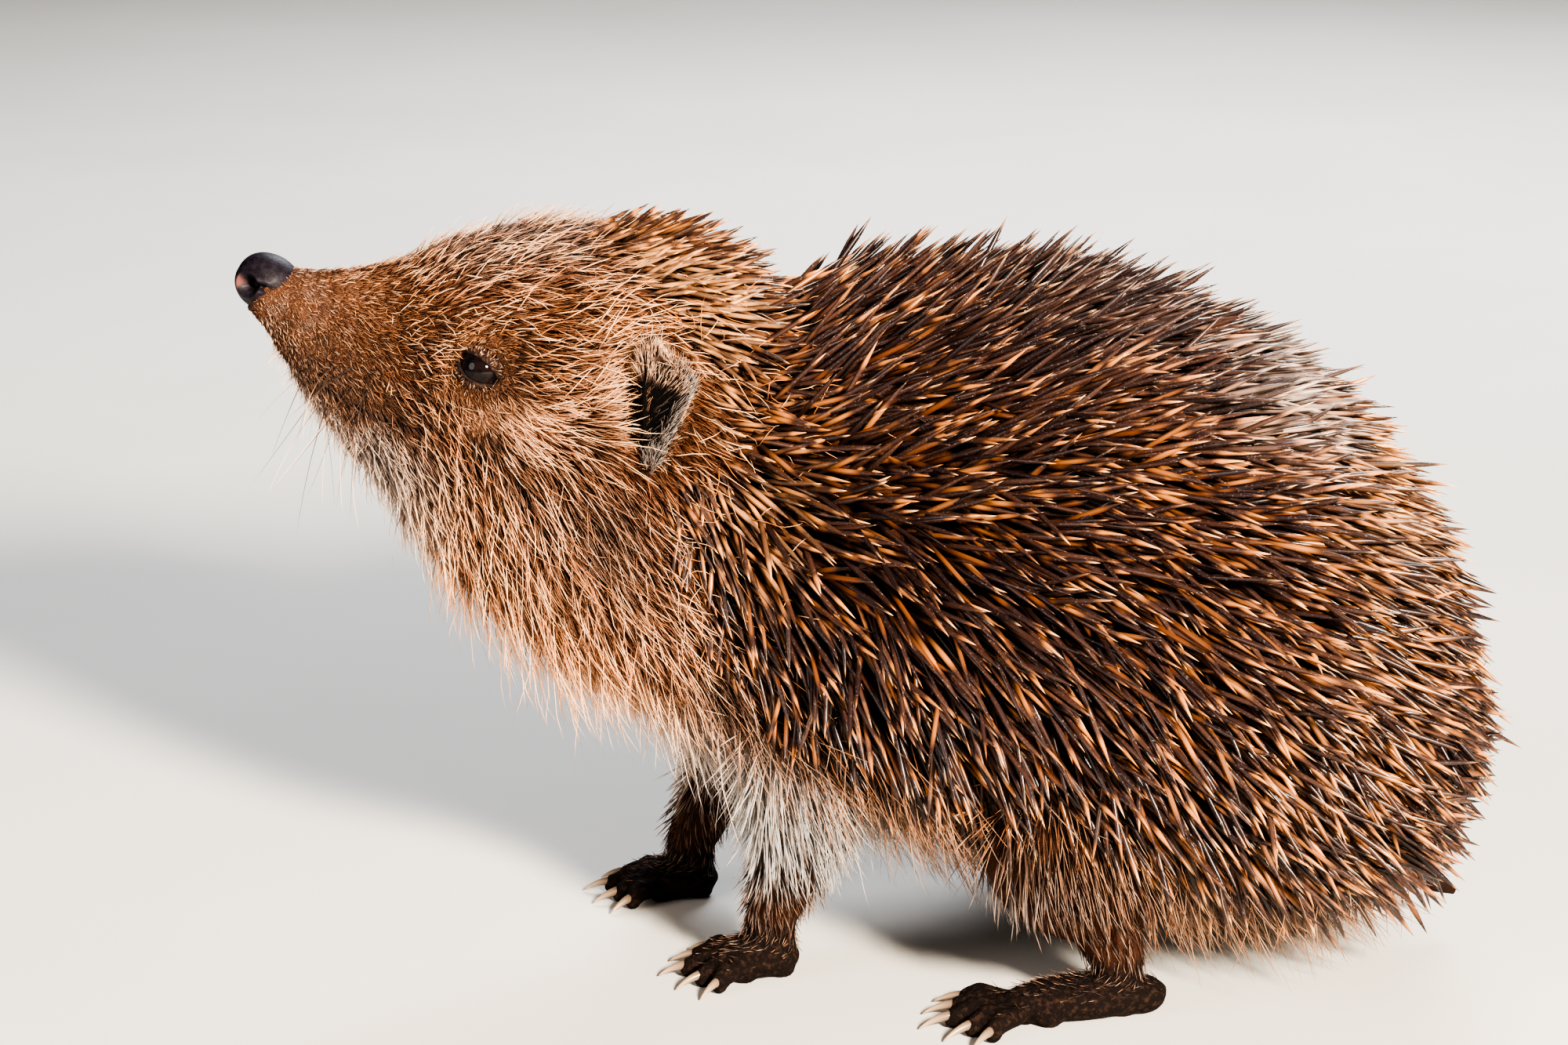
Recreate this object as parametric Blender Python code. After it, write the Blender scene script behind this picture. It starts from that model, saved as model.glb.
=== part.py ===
"""A life-size hedgehog that stands with its nose raised, as named solids.

The nose points along -X, the animal's left side faces -Y and +Z is up. Lengths below are in millimetres and
angles in degrees; MM turns them into Blender's metres. The head, neck and trunk are one lofted form, cut across
at two of its rings. Every outline is that of the coat's tips, and each foot stands on a small flat at Z = 0.
"""

from collections import namedtuple
from math import cos, pi, radians, sin

import bmesh
import bpy
import numpy as np
from mathutils import Matrix, Vector

MM = 0.001
GAP = 0.3  # clearance between neighbouring solids

# ---- The lofted body ------------------------------------------------------------------------------------------
# Each station is a ring across the animal: its highest and lowest point on the mid-plane and its half width.
# "low_swell" moves the widest part down, and "low_square" squares the lower half, as a skirt of spines does.
Station = namedtuple("Station", "name top_x top_z low_x low_z half_width low_swell low_square")
BODY = [
    Station("nose_pad", -87.6, 106.9, -91.2, 98.6, 4.5, 0.00, 2.0),
    Station("lip", -84.0, 106.4, -88.8, 93.4, 5.4, 0.02, 2.0),
    Station("muzzle", -77.0, 106.8, -84.0, 84.6, 7.8, 0.04, 2.0),
    Station("stop", -69.5, 108.8, -77.4, 76.0, 11.0, 0.05, 2.0),
    Station("eyes", -60.0, 112.4, -69.0, 67.2, 16.2, 0.06, 2.0),
    Station("cheeks", -48.0, 115.6, -58.2, 56.4, 22.8, 0.08, 2.0),
    Station("ears", -36.0, 116.6, -48.0, 48.0, 28.2, 0.08, 2.1),
    Station("crown", -24.4, 114.6, -36.0, 37.2, 32.0, 0.08, 2.2),
    Station("nape", -16.6, 106.0, -23.0, 28.6, 35.5, 0.08, 2.3),
    Station("shoulder", -4.0, 109.4, -8.0, 25.0, 42.0, 0.08, 2.5),
    Station("withers", 12.0, 112.6, 8.0, 21.0, 49.0, 0.08, 2.8),
    Station("ribs", 30.0, 112.6, 26.0, 15.5, 54.5, 0.08, 3.2),
    Station("loin", 49.0, 105.4, 44.0, 9.5, 56.5, 0.08, 3.7),
    Station("hips", 67.0, 95.0, 60.0, 6.0, 54.0, 0.08, 3.9),
    Station("rump", 82.0, 83.2, 75.0, 6.5, 47.0, 0.08, 3.4),
    Station("seat", 92.0, 69.0, 87.0, 12.0, 35.0, 0.06, 2.6),
    Station("rump_end", 96.8, 50.0, 95.4, 25.0, 17.0, 0.00, 2.0),
]
RUMP_POLE = (97.4, 36.6)
AROUND = 36  # points in a ring
HEAD_RINGS_PER_STATION, TRUNK_RINGS_PER_STATION = 2.4, 2.4

# ---- Nose, eyes and ears --------------------------------------------------------------------------------------
NOSE_CENTRE = (-90.5, 0.0, 104.3)
NOSE_SIZE = (4.9, 4.5, 4.2)  # half length, half width, half height of the bare pad
NOSE_PITCH = 14
NOSTRIL_AT = (-92.6, 3.1, 103.7)
NOSTRIL_SIZE = (1.5, 1.7, 1.35)
EYE_AT = (-57.8, 15.0, 94.6)
EYE_RADIUS = 3.15
EYE_OPENING = 5.2  # radius of the opening in the coat round the eye, 5 mm out from its centre
EAR_ROOT = (-33.6, 27.8, 81.8)
EAR_HEIGHT, EAR_HALF_WIDTH, EAR_CUP, EAR_THICKNESS = 20.5, 8.4, 5.0, 1.5
EAR_LEAN_BACK, EAR_LEAN_OUT, EAR_TURN = 7, 14, 24
EAR_HOLLOW_AT, EAR_HOLLOW_SIZE = (-0.6, -1.6, 10.0), (9.0, 7.4, 11.2)  # seen from the ear's own root
MOUTH_DEPTH, MOUTH_HEIGHT = 1.4, 0.7

# ---- Legs, feet and tail --------------------------------------------------------------------------------------
Leg = namedtuple("Leg", "name side foot_x foot_y toe_out joint_x joint_y joint_z")
FORELEGS = [
    Leg("left", -1, -17.0, 19.0, 6, -9.0, 24.0, 36.0),
    Leg("right", 1, -30.0, 17.0, 4, -16.0, 22.0, 38.0),
]
HINDLEGS = [
    Leg("left", -1, 29.0, 37.0, 14, 33.0, 35.0, 26.0),
    Leg("right", 1, 37.0, 37.0, 16, 41.0, 35.0, 26.0),
]
FOREARM_RADIUS, WRIST_RADIUS, WRIST_HEIGHT = 8.0, 4.6, 9.5
THIGH_SIZE = (19.0, 11.0, 17.0)
SHANK_RADIUS, ANKLE_RADIUS, ANKLE_HEIGHT = 8.0, 5.0, 9.5
Foot = namedtuple("Foot", "sole_length sole_width sole_height sole_shift toe_length toe_radius toe_fan claw_length")
FOREFOOT = Foot(8.2, 6.0, 3.7, 0.0, 8.0, 1.9, 46, 5.0)
HINDFOOT = Foot(14.5, 5.8, 3.8, 3.5, 8.6, 1.9, 38, 5.4)
TOES = 5
SOLE_SINK = 0.35  # how far pads reach below the floor before their flats are cut
TAIL_ROOT, TAIL_TIP = (78.0, 0.0, 15.0), (93.0, 0.0, 5.5)
TAIL_RADII = (4.6, 1.6)

Skin = namedtuple("Skin", "colour roughness")
SPINY_COAT = Skin((0.20, 0.11, 0.06), 0.55)
FACE_COAT = Skin((0.36, 0.19, 0.10), 0.75)
PALE_COAT = Skin((0.52, 0.44, 0.34), 0.85)
BARE_SKIN = Skin((0.16, 0.10, 0.09), 0.60)
WET_NOSE = Skin((0.02, 0.015, 0.02), 0.20)
EYE_GLOSS = Skin((0.005, 0.005, 0.007), 0.04)


def clear_scene():
    for obj in list(bpy.data.objects):
        bpy.data.objects.remove(obj)


def material(name, skin):
    made = bpy.data.materials.new(name)
    made.use_nodes = True
    shader = made.node_tree.nodes["Principled BSDF"]
    shader.inputs["Base Color"].default_value = (*skin.colour, 1)
    shader.inputs["Roughness"].default_value = skin.roughness
    return made


def object_from(name, build, finish):
    """An object whose mesh build(bm) draws in millimetres, closed and facing out."""
    bm = bmesh.new()
    build(bm)
    bmesh.ops.recalc_face_normals(bm, faces=bm.faces)
    bmesh.ops.scale(bm, vec=(MM, MM, MM), verts=bm.verts)
    mesh = bpy.data.meshes.new(name)
    bm.to_mesh(mesh)
    bm.free()
    mesh.shade_smooth()
    mesh.materials.append(finish)
    obj = bpy.data.objects.new(name, mesh)
    bpy.context.scene.collection.objects.link(obj)
    return obj


def helper(obj):
    """Marks a cutter or a shape that is joined into another: the model itself doesn't show it."""
    obj.hide_render = True
    obj.display_type = "WIRE"
    return obj


def boolean(obj, operation, other):
    modifier = obj.modifiers.new(f"{operation.lower()}_{other.name}", "BOOLEAN")
    modifier.operation = operation
    modifier.object = helper(other)
    modifier.solver = "EXACT"


# ---- Shapes ---------------------------------------------------------------------------------------------------
def bridge_rings(bm, rings):
    """Skins a list of rings, each a list of vertices, with quads and closes both ends."""
    for near, far in zip(rings, rings[1:]):
        for i in range(len(near)):
            j = (i + 1) % len(near)
            bm.faces.new((near[i], near[j], far[j], far[i]))
    bm.faces.new(rings[0])
    bm.faces.new(reversed(rings[-1]))


def station_at(s):
    """The body's station values at s, counted along BODY, on a smooth curve through them all."""
    rows = np.array([row[1:] for row in BODY])
    s = min(max(s, 0.0), len(rows) - 1.0)
    i = min(int(s), len(rows) - 2)
    t = s - i
    before, after = rows[max(i - 1, 0)], rows[min(i + 2, len(rows) - 1)]
    start, end = rows[i], rows[i + 1]
    out, back = (end - before) / 2, (after - start) / 2
    return (
        (2 * t**3 - 3 * t**2 + 1) * start
        + (t**3 - 2 * t**2 + t) * out
        + (3 * t**2 - 2 * t**3) * end
        + (t**3 - t**2) * back
    )


def body_point(s, angle, swell=0.0):
    """The body's surface at station s and at an angle from the back, moved outwards by swell."""
    top_x, top_z, low_x, low_z, half_width, low_swell, low_square = station_at(s)
    middle = np.array([(top_x + low_x) / 2, 0, (top_z + low_z) / 2])
    up = np.array([(top_x - low_x) / 2, 0, (top_z - low_z) / 2])
    square = 2.0 if cos(angle) > 0 else low_square
    across = abs(sin(angle)) ** (2 / square) * np.sign(sin(angle))
    along = abs(cos(angle)) ** (2 / square) * np.sign(cos(angle))
    stretch = 1 + swell / np.linalg.norm(up)
    widen = 1 + swell / half_width
    side = np.array([0, half_width * (1 - low_swell * cos(angle)), 0])
    return middle + up * along * stretch + side * across * widen


def body_rings(bm, stations, swell=0.0):
    angles = [2 * pi * k / AROUND for k in range(AROUND)]
    return [[bm.verts.new(body_point(s, a, swell)) for a in angles] for s in stations]


def stations_between(start, end, per_station):
    return np.linspace(start, end, max(2, round((end - start) * per_station) + 1))


def close_rump(bm, last_ring, swell=0.0):
    """Rounds the loft off from its last ring to the rump's pole."""
    pole = np.array([RUMP_POLE[0] + swell, 0, RUMP_POLE[1]])
    rings = [last_ring]
    for share in (0.72, 0.38):
        ring = []
        for vert in last_ring:
            rim = np.array(vert.co)
            point = pole + (rim - pole) * share
            point[0] = pole[0] + (rim[0] - pole[0]) * share**2
            ring.append(bm.verts.new(point))
        rings.append(ring)
    for near, far in zip(rings, rings[1:]):
        for i in range(len(near)):
            j = (i + 1) % len(near)
            bm.faces.new((near[i], near[j], far[j], far[i]))
    tip = bm.verts.new(pole)
    for i in range(len(rings[-1])):
        bm.faces.new((rings[-1][i], rings[-1][(i + 1) % len(rings[-1])], tip))


def body_length(bm, start, end, per_station, swell=0.0, to_rump=False):
    """One length of the body from station start to station end, closed at both."""
    rings = body_rings(bm, stations_between(start, end, per_station), swell)
    for near, far in zip(rings, rings[1:]):
        for i in range(AROUND):
            j = (i + 1) % AROUND
            bm.faces.new((near[i], near[j], far[j], far[i]))
    bm.faces.new(rings[0])
    if to_rump:
        close_rump(bm, rings[-1], swell)
    else:
        bm.faces.new(reversed(rings[-1]))


def ellipsoid(bm, centre, size, turn=None, segments=16, rings=10):
    place = Matrix.Translation(centre) @ (turn or Matrix()) @ Matrix.Diagonal((*size, 1))
    bmesh.ops.create_uvsphere(bm, u_segments=segments, v_segments=rings, radius=1, matrix=place)


def tapered_tube(bm, path, radii, sides, flatten=1.0):
    """A tube along a path of points, one radius at each, with flat ends; flatten squeezes it in height."""
    points = [Vector(p) for p in path]
    rings = []
    for i, point in enumerate(points):
        ahead = points[min(i + 1, len(points) - 1)] - points[max(i - 1, 0)]
        turn = ahead.normalized().to_track_quat("Z", "X").to_matrix()
        ring = []
        for k in range(sides):
            a = 2 * pi * k / sides
            offset = turn @ Vector((cos(a), sin(a), 0)) * radii[i]
            offset.z *= flatten
            ring.append(bm.verts.new(point + offset))
        rings.append(ring)
    bridge_rings(bm, rings)


def blend(a, b, t):
    return tuple(p + (q - p) * t for p, q in zip(a, b))


def mirrored(point, side):
    """A point given for the right side (+Y), placed on the side asked for."""
    return (point[0], point[1] * side, point[2])


# ---- Head, neck and trunk -------------------------------------------------------------------------------------
def station_number(name):
    return [row.name for row in BODY].index(name)


def body_cutter(name):
    """The whole body, a gap wider all round: what grows from the body is cut with it."""
    def build(bm):
        body_length(bm, 0, len(BODY) - 1, TRUNK_RINGS_PER_STATION, swell=GAP, to_rump=True)

    return object_from(name, build, bpy.data.materials["spiny_coat"])


def gap_in_stations(s):
    """Half the clearance at a cut across the body, in stations."""
    near, far = station_at(s - 0.05), station_at(s + 0.05)
    reach = min(abs(far[0] - near[0]), abs(far[2] - near[2])) * 10
    return 0.55 * GAP / reach


def head_neck_and_trunk(finishes):
    head_end, neck_end = station_number("crown") + 0.55, station_number("shoulder") - 0.1
    head_gap, neck_gap = gap_in_stations(head_end), gap_in_stations(neck_end)

    def head(bm):
        body_length(bm, 0, head_end - head_gap, HEAD_RINGS_PER_STATION)

    def neck(bm):
        body_length(bm, head_end + head_gap, neck_end - neck_gap, HEAD_RINGS_PER_STATION)

    def trunk(bm):
        body_length(bm, neck_end + neck_gap, len(BODY) - 1, TRUNK_RINGS_PER_STATION, to_rump=True)

    head_obj = object_from("head", head, finishes["face_coat"])
    object_from("neck", neck, finishes["pale_coat"])
    object_from("trunk", trunk, finishes["spiny_coat"])
    return head_obj


def mouth_cutter(finish):
    """A thin curved slab under the muzzle that opens the line between the lips."""
    def build(bm):
        lip = [(-92.5, 95.6), (-87.0, 92.2), (-80.5, 87.6), (-73.5, 84.4)]
        rings = []
        for x, z in lip:
            half = 20
            rings.append([bm.verts.new((x, y, z + dz)) for y, dz in (
                (-half, -MOUTH_HEIGHT / 2), (half, -MOUTH_HEIGHT / 2),
                (half, MOUTH_HEIGHT / 2), (-half, MOUTH_HEIGHT / 2))])
        bridge_rings(bm, rings)

    return object_from("mouth_cutter", build, finish)


def mouth_core(finish):
    """What the mouth's slab leaves whole: the muzzle, thinner by the mouth's depth."""
    def build(bm):
        body_length(bm, 0.25, station_number("eyes"), HEAD_RINGS_PER_STATION, swell=-MOUTH_DEPTH)

    return object_from("mouth_core", build, finish)


def nose(finish, head_obj):
    turn = Matrix.Rotation(radians(NOSE_PITCH), 4, "Y")

    def pad(bm):
        ellipsoid(bm, NOSE_CENTRE, NOSE_SIZE, turn, segments=16, rings=10)

    def seat(bm):
        ellipsoid(bm, NOSE_CENTRE, [size + GAP for size in NOSE_SIZE], turn, segments=16, rings=10)

    pad_obj = object_from("nose", pad, finish)
    boolean(head_obj, "DIFFERENCE", object_from("nose_seat", seat, finish))
    for side, word in ((-1, "left"), (1, "right")):
        slant = Matrix.Rotation(radians(30 * side), 4, "Z")

        def nostril(bm, side=side, slant=slant):
            ellipsoid(bm, mirrored(NOSTRIL_AT, side), NOSTRIL_SIZE, slant, segments=8, rings=5)

        boolean(pad_obj, "DIFFERENCE", object_from(f"nostril_{word}", nostril, finish))


def eyes(finish, head_obj):
    for side, word in ((-1, "left"), (1, "right")):
        centre = mirrored(EYE_AT, side)

        def ball(bm, centre=centre):
            ellipsoid(bm, centre, [EYE_RADIUS] * 3, segments=16, rings=10)

        def socket(bm, centre=centre, side=side):
            ellipsoid(bm, centre, [EYE_RADIUS + GAP] * 3, segments=16, rings=10)

        def opening(bm, centre=centre, side=side):
            outside = (centre[0], centre[1] + side * 5, centre[2])
            tapered_tube(bm, [centre, outside], [EYE_RADIUS * 0.8, EYE_OPENING], 16)

        object_from(f"eye_{word}", ball, finish)
        boolean(head_obj, "DIFFERENCE", object_from(f"eye_socket_{word}", socket, finish))
        boolean(head_obj, "DIFFERENCE", object_from(f"eye_opening_{word}", opening, finish))


def ear_point(u, v):
    """The ear's mid-surface: u runs from its front edge (-1) to its back edge (1), v from root to rim."""
    half = EAR_HALF_WIDTH * max(0.0, 1 - ((v - 0.42) / 0.58) ** 2) ** 0.5
    return Vector((half * u, EAR_CUP * (1 - u * u) * (1 - 0.5 * v), EAR_HEIGHT * v))


def ear_frame(side):
    """Turns the ear from its own frame, opening towards -Y, to its place on the head."""
    stand = Matrix.Rotation(radians(EAR_LEAN_BACK), 4, "Y") @ Matrix.Rotation(radians(EAR_LEAN_OUT), 4, "X")
    turn = Matrix.Rotation(radians(-EAR_TURN), 4, "Z")
    place = Matrix.Translation(mirrored(EAR_ROOT, -1)) @ stand @ turn
    return place if side < 0 else Matrix.Diagonal((1, -1, 1, 1)) @ place


def ear_hollow(name, side, shrink, finish):
    """The hollow in the coat that the ear's cup lines."""
    def build(bm):
        size = [length - shrink for length in EAR_HOLLOW_SIZE]
        turn = Matrix.Diagonal((*size, 1))
        place = ear_frame(side) @ Matrix.Translation(EAR_HOLLOW_AT) @ turn
        bmesh.ops.create_uvsphere(bm, u_segments=14, v_segments=8, radius=1, matrix=place)

    return object_from(name, build, finish)


def ears(finish, head_obj):
    across, up = 10, 8
    for side, word in ((-1, "left"), (1, "right")):
        frame = ear_frame(side)

        def leaf(bm, frame=frame):
            front, back = [], []
            for j in range(up + 1):
                v = -0.25 + 1.22 * j / up
                for rows, shift in ((front, -0.5), (back, 0.5)):
                    row = []
                    for i in range(across + 1):
                        u = -1 + 2 * i / across
                        point = ear_point(u, max(v, 0.0))
                        point.z += EAR_HEIGHT * min(v, 0.0)
                        point.y += EAR_THICKNESS * shift * (1 - 0.45 * max(v, 0.0))
                        row.append(bm.verts.new(frame @ point))
                    rows.append(row)
            for rows in (front, back):
                for near, far in zip(rows, rows[1:]):
                    for i in range(across):
                        bm.faces.new((near[i], near[i + 1], far[i + 1], far[i]))
            for j in range(up):
                for i in (0, across):
                    bm.faces.new((front[j][i], front[j + 1][i], back[j + 1][i], back[j][i]))
            for j in (0, up):
                for i in range(across):
                    bm.faces.new((front[j][i], front[j][i + 1], back[j][i + 1], back[j][i]))

        boolean(head_obj, "DIFFERENCE", ear_hollow(f"ear_hollow_{word}", side, 0.0, finish))
        surround = body_cutter(f"ear_surround_{word}")
        boolean(surround, "DIFFERENCE", ear_hollow(f"ear_room_{word}", side, GAP, finish))
        boolean(object_from(f"ear_{word}", leaf, finish), "DIFFERENCE", surround)


# ---- Legs and feet --------------------------------------------------------------------------------------------
def floor_cutter(finish):
    def build(bm):
        bmesh.ops.create_cube(bm, size=1, matrix=Matrix.Translation((0, 0, -10)) @ Matrix.Diagonal((260, 200, 20, 1)))

    return object_from("floor_cutter", build, finish)


def foot(name, leg, shape, stub_radius, stub_height, stub_shift, finish, floor):
    """A sole, a short stub up to the leg and five clawed toes, joined and cut flat at the floor."""
    heading = Matrix.Translation((leg.foot_x, leg.foot_y * leg.side, 0))
    heading = heading @ Matrix.Rotation(radians(180 - leg.toe_out * leg.side), 4, "Z")
    at = lambda x, y, z: heading @ Vector((x, y, z))

    def sole(bm):
        centre = (-shape.sole_shift, 0, shape.sole_height - SOLE_SINK)
        place = heading @ Matrix.Translation(centre)
        size = Matrix.Diagonal((shape.sole_length, shape.sole_width, shape.sole_height, 1))
        bmesh.ops.create_uvsphere(bm, u_segments=12, v_segments=7, radius=1, matrix=place @ size)

    def stub(bm):
        low, high = at(-stub_shift, 0, 2.5), at(-stub_shift, 0, stub_height - GAP)
        tapered_tube(bm, [low, high], [stub_radius * 0.96, stub_radius], 10)

    pieces = [object_from(f"{name}_stub", stub, finish)]
    for k in range(TOES):
        spread = radians(shape.toe_fan) * (k - (TOES - 1) / 2) / ((TOES - 1) / 2)
        reach = shape.sole_length - shape.sole_shift - 3.2
        length = shape.toe_length * (1 - 0.16 * abs(k - 2))
        direction = Vector((cos(spread), sin(spread), 0))
        root = Vector((reach - 2.5, (k - 2) * shape.sole_width * 0.34, shape.toe_radius + 0.1))
        tip = root + direction * length

        def toe(bm, root=root, tip=tip):
            path = [blend(root, tip, t) for t in (0, 0.8, 1)]
            path = [at(x, y, z - (shape.toe_radius * 0.28) * i / 2) for i, (x, y, z) in enumerate(path)]
            radii = [shape.toe_radius * r for r in (0.95, 1.0, 0.6)]
            tapered_tube(bm, path, radii, 7)

        def claw(bm, tip=tip, direction=direction):
            path, radii = [], []
            for t in (-0.25, 0.45, 1.0):
                ahead = direction * shape.claw_length * t
                path.append(at(tip.x + ahead.x, tip.y + ahead.y, tip.z * (1 - 0.62 * max(t, 0) ** 2)))
                radii.append(0.95 * (1 - 0.72 * max(t, 0)))
            tapered_tube(bm, path, radii, 5)

        pieces.append(object_from(f"{name}_toe_{k + 1}", toe, finish))
        pieces.append(object_from(f"{name}_claw_{k + 1}", claw, finish))
    made = object_from(name, sole, finish)
    for piece in pieces:
        boolean(made, "UNION", piece)
    boolean(made, "DIFFERENCE", floor)


def stub_top(leg, shift, height):
    turn = radians(180 - leg.toe_out * leg.side)
    return (leg.foot_x - shift * cos(turn), leg.foot_y * leg.side - shift * sin(turn), height)


def forelegs(finishes, cutter, floor):
    for leg in FORELEGS:
        wrist = stub_top(leg, 3.0, WRIST_HEIGHT)
        elbow = (leg.joint_x, leg.joint_y * leg.side, leg.joint_z)

        def forearm(bm, wrist=wrist, elbow=elbow):
            path = [wrist, blend(wrist, elbow, 0.35), elbow]
            path[1] = (path[1][0] + 1.5, path[1][1], path[1][2])
            tapered_tube(bm, path, [WRIST_RADIUS, FOREARM_RADIUS * 0.82, FOREARM_RADIUS * 1.15], 16)

        obj = object_from(f"foreleg_{leg.name}", forearm, finishes["pale_coat"])
        level_cut(obj, WRIST_HEIGHT, finishes["pale_coat"])
        boolean(obj, "DIFFERENCE", cutter)
        foot(f"forefoot_{leg.name}", leg, FOREFOOT, WRIST_RADIUS, WRIST_HEIGHT, 3.0, finishes["bare_skin"], floor)


def level_cut(obj, height, finish):
    """Trims everything below a height, so that the limb ends level with the stub it stands on."""
    def build(bm):
        place = Matrix.Translation((0, 0, height - 15)) @ Matrix.Diagonal((260, 200, 30, 1))
        bmesh.ops.create_cube(bm, size=1, matrix=place)

    boolean(obj, "DIFFERENCE", object_from(f"{obj.name}_trim", build, finish))


def hindlegs(finishes, cutter, floor):
    for leg in HINDLEGS:
        ankle = stub_top(leg, 9.0, ANKLE_HEIGHT)
        knee = (leg.joint_x, leg.joint_y * leg.side, leg.joint_z)

        def thigh(bm, knee=knee):
            ellipsoid(bm, knee, THIGH_SIZE, segments=18, rings=12)

        def shank(bm, ankle=ankle, knee=knee):
            tapered_tube(bm, [ankle, knee], [ANKLE_RADIUS, SHANK_RADIUS], 14)

        obj = object_from(f"hindleg_{leg.name}", thigh, finishes["pale_coat"])
        boolean(obj, "UNION", object_from(f"shank_{leg.name}", shank, finishes["pale_coat"]))
        level_cut(obj, ANKLE_HEIGHT, finishes["pale_coat"])
        boolean(obj, "DIFFERENCE", cutter)
        foot(f"hindfoot_{leg.name}", leg, HINDFOOT, ANKLE_RADIUS, ANKLE_HEIGHT, 9.0, finishes["bare_skin"], floor)


def tail(finish, cutter):
    def build(bm):
        path = [blend(TAIL_ROOT, TAIL_TIP, t) for t in (0, 0.4, 0.8, 1)]
        radii = [TAIL_RADII[0] + (TAIL_RADII[1] - TAIL_RADII[0]) * t for t in (0, 0.4, 0.8, 1)]
        tapered_tube(bm, path, radii, 12)

    boolean(object_from("tail", build, finish), "DIFFERENCE", cutter)


def centre_on_floor():
    """Moves everything so that the shown solids' box is centred on the Z axis and stands on Z = 0."""
    bpy.context.view_layer.update()
    graph = bpy.context.evaluated_depsgraph_get()
    corners = []
    for obj in bpy.data.objects:
        if not obj.hide_render:
            shown = obj.evaluated_get(graph)
            corners += [shown.matrix_world @ Vector(c) for c in shown.bound_box]
    low = Vector([min(c[i] for c in corners) for i in range(3)])
    high = Vector([max(c[i] for c in corners) for i in range(3)])
    shift = Vector((-(low.x + high.x) / 2, -(low.y + high.y) / 2, -low.z))
    for obj in bpy.data.objects:
        obj.location += shift


def main():
    clear_scene()
    skins = {
        "spiny_coat": SPINY_COAT,
        "face_coat": FACE_COAT,
        "pale_coat": PALE_COAT,
        "bare_skin": BARE_SKIN,
        "wet_nose": WET_NOSE,
        "eye_gloss": EYE_GLOSS,
    }
    finishes = {name: material(name, skin) for name, skin in skins.items()}
    cutter = body_cutter("body_cutter")
    floor = floor_cutter(finishes["bare_skin"])
    head_obj = head_neck_and_trunk(finishes)
    nose(finishes["wet_nose"], head_obj)
    eyes(finishes["eye_gloss"], head_obj)
    lips = mouth_cutter(finishes["bare_skin"])
    boolean(lips, "DIFFERENCE", mouth_core(finishes["bare_skin"]))
    boolean(head_obj, "DIFFERENCE", lips)
    ears(finishes["face_coat"], head_obj)
    forelegs(finishes, cutter, floor)
    hindlegs(finishes, cutter, floor)
    tail(finishes["pale_coat"], cutter)
    centre_on_floor()


main()
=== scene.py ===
"""The looks of a life-size hedgehog: skin, nose, eyes, claws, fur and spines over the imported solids.

All shapes are worked out in the body's own frame, in millimetres: nose towards -X, the animal's left side
towards -Y, +Z up. place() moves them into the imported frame, in metres.
"""

from collections import namedtuple

import bpy
import numpy as np
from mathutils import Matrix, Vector


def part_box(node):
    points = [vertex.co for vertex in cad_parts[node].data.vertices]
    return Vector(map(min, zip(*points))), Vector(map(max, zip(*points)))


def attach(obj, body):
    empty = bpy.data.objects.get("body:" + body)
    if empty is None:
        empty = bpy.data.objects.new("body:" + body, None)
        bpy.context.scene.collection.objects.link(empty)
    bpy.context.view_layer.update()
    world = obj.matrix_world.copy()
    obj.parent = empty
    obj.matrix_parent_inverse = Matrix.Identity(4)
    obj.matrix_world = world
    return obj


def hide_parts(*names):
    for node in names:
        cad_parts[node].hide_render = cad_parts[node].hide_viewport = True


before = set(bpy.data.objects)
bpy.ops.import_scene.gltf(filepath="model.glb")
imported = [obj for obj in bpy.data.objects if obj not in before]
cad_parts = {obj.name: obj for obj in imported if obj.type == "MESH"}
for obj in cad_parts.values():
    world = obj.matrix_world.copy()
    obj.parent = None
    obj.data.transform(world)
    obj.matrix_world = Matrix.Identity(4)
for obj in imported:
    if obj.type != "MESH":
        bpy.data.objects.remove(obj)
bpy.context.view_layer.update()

bl_info = {
    "name": "Hedgehog Looks",
    "version": (1, 0, 0),
    "blender": (4, 5, 0),
    "location": "3D View > Sidebar > Hedgehog",
    "description": "Builds the skin, fur, spines and face of a standing hedgehog over its solids",
    "category": "Object",
}

MM = 0.001

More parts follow.
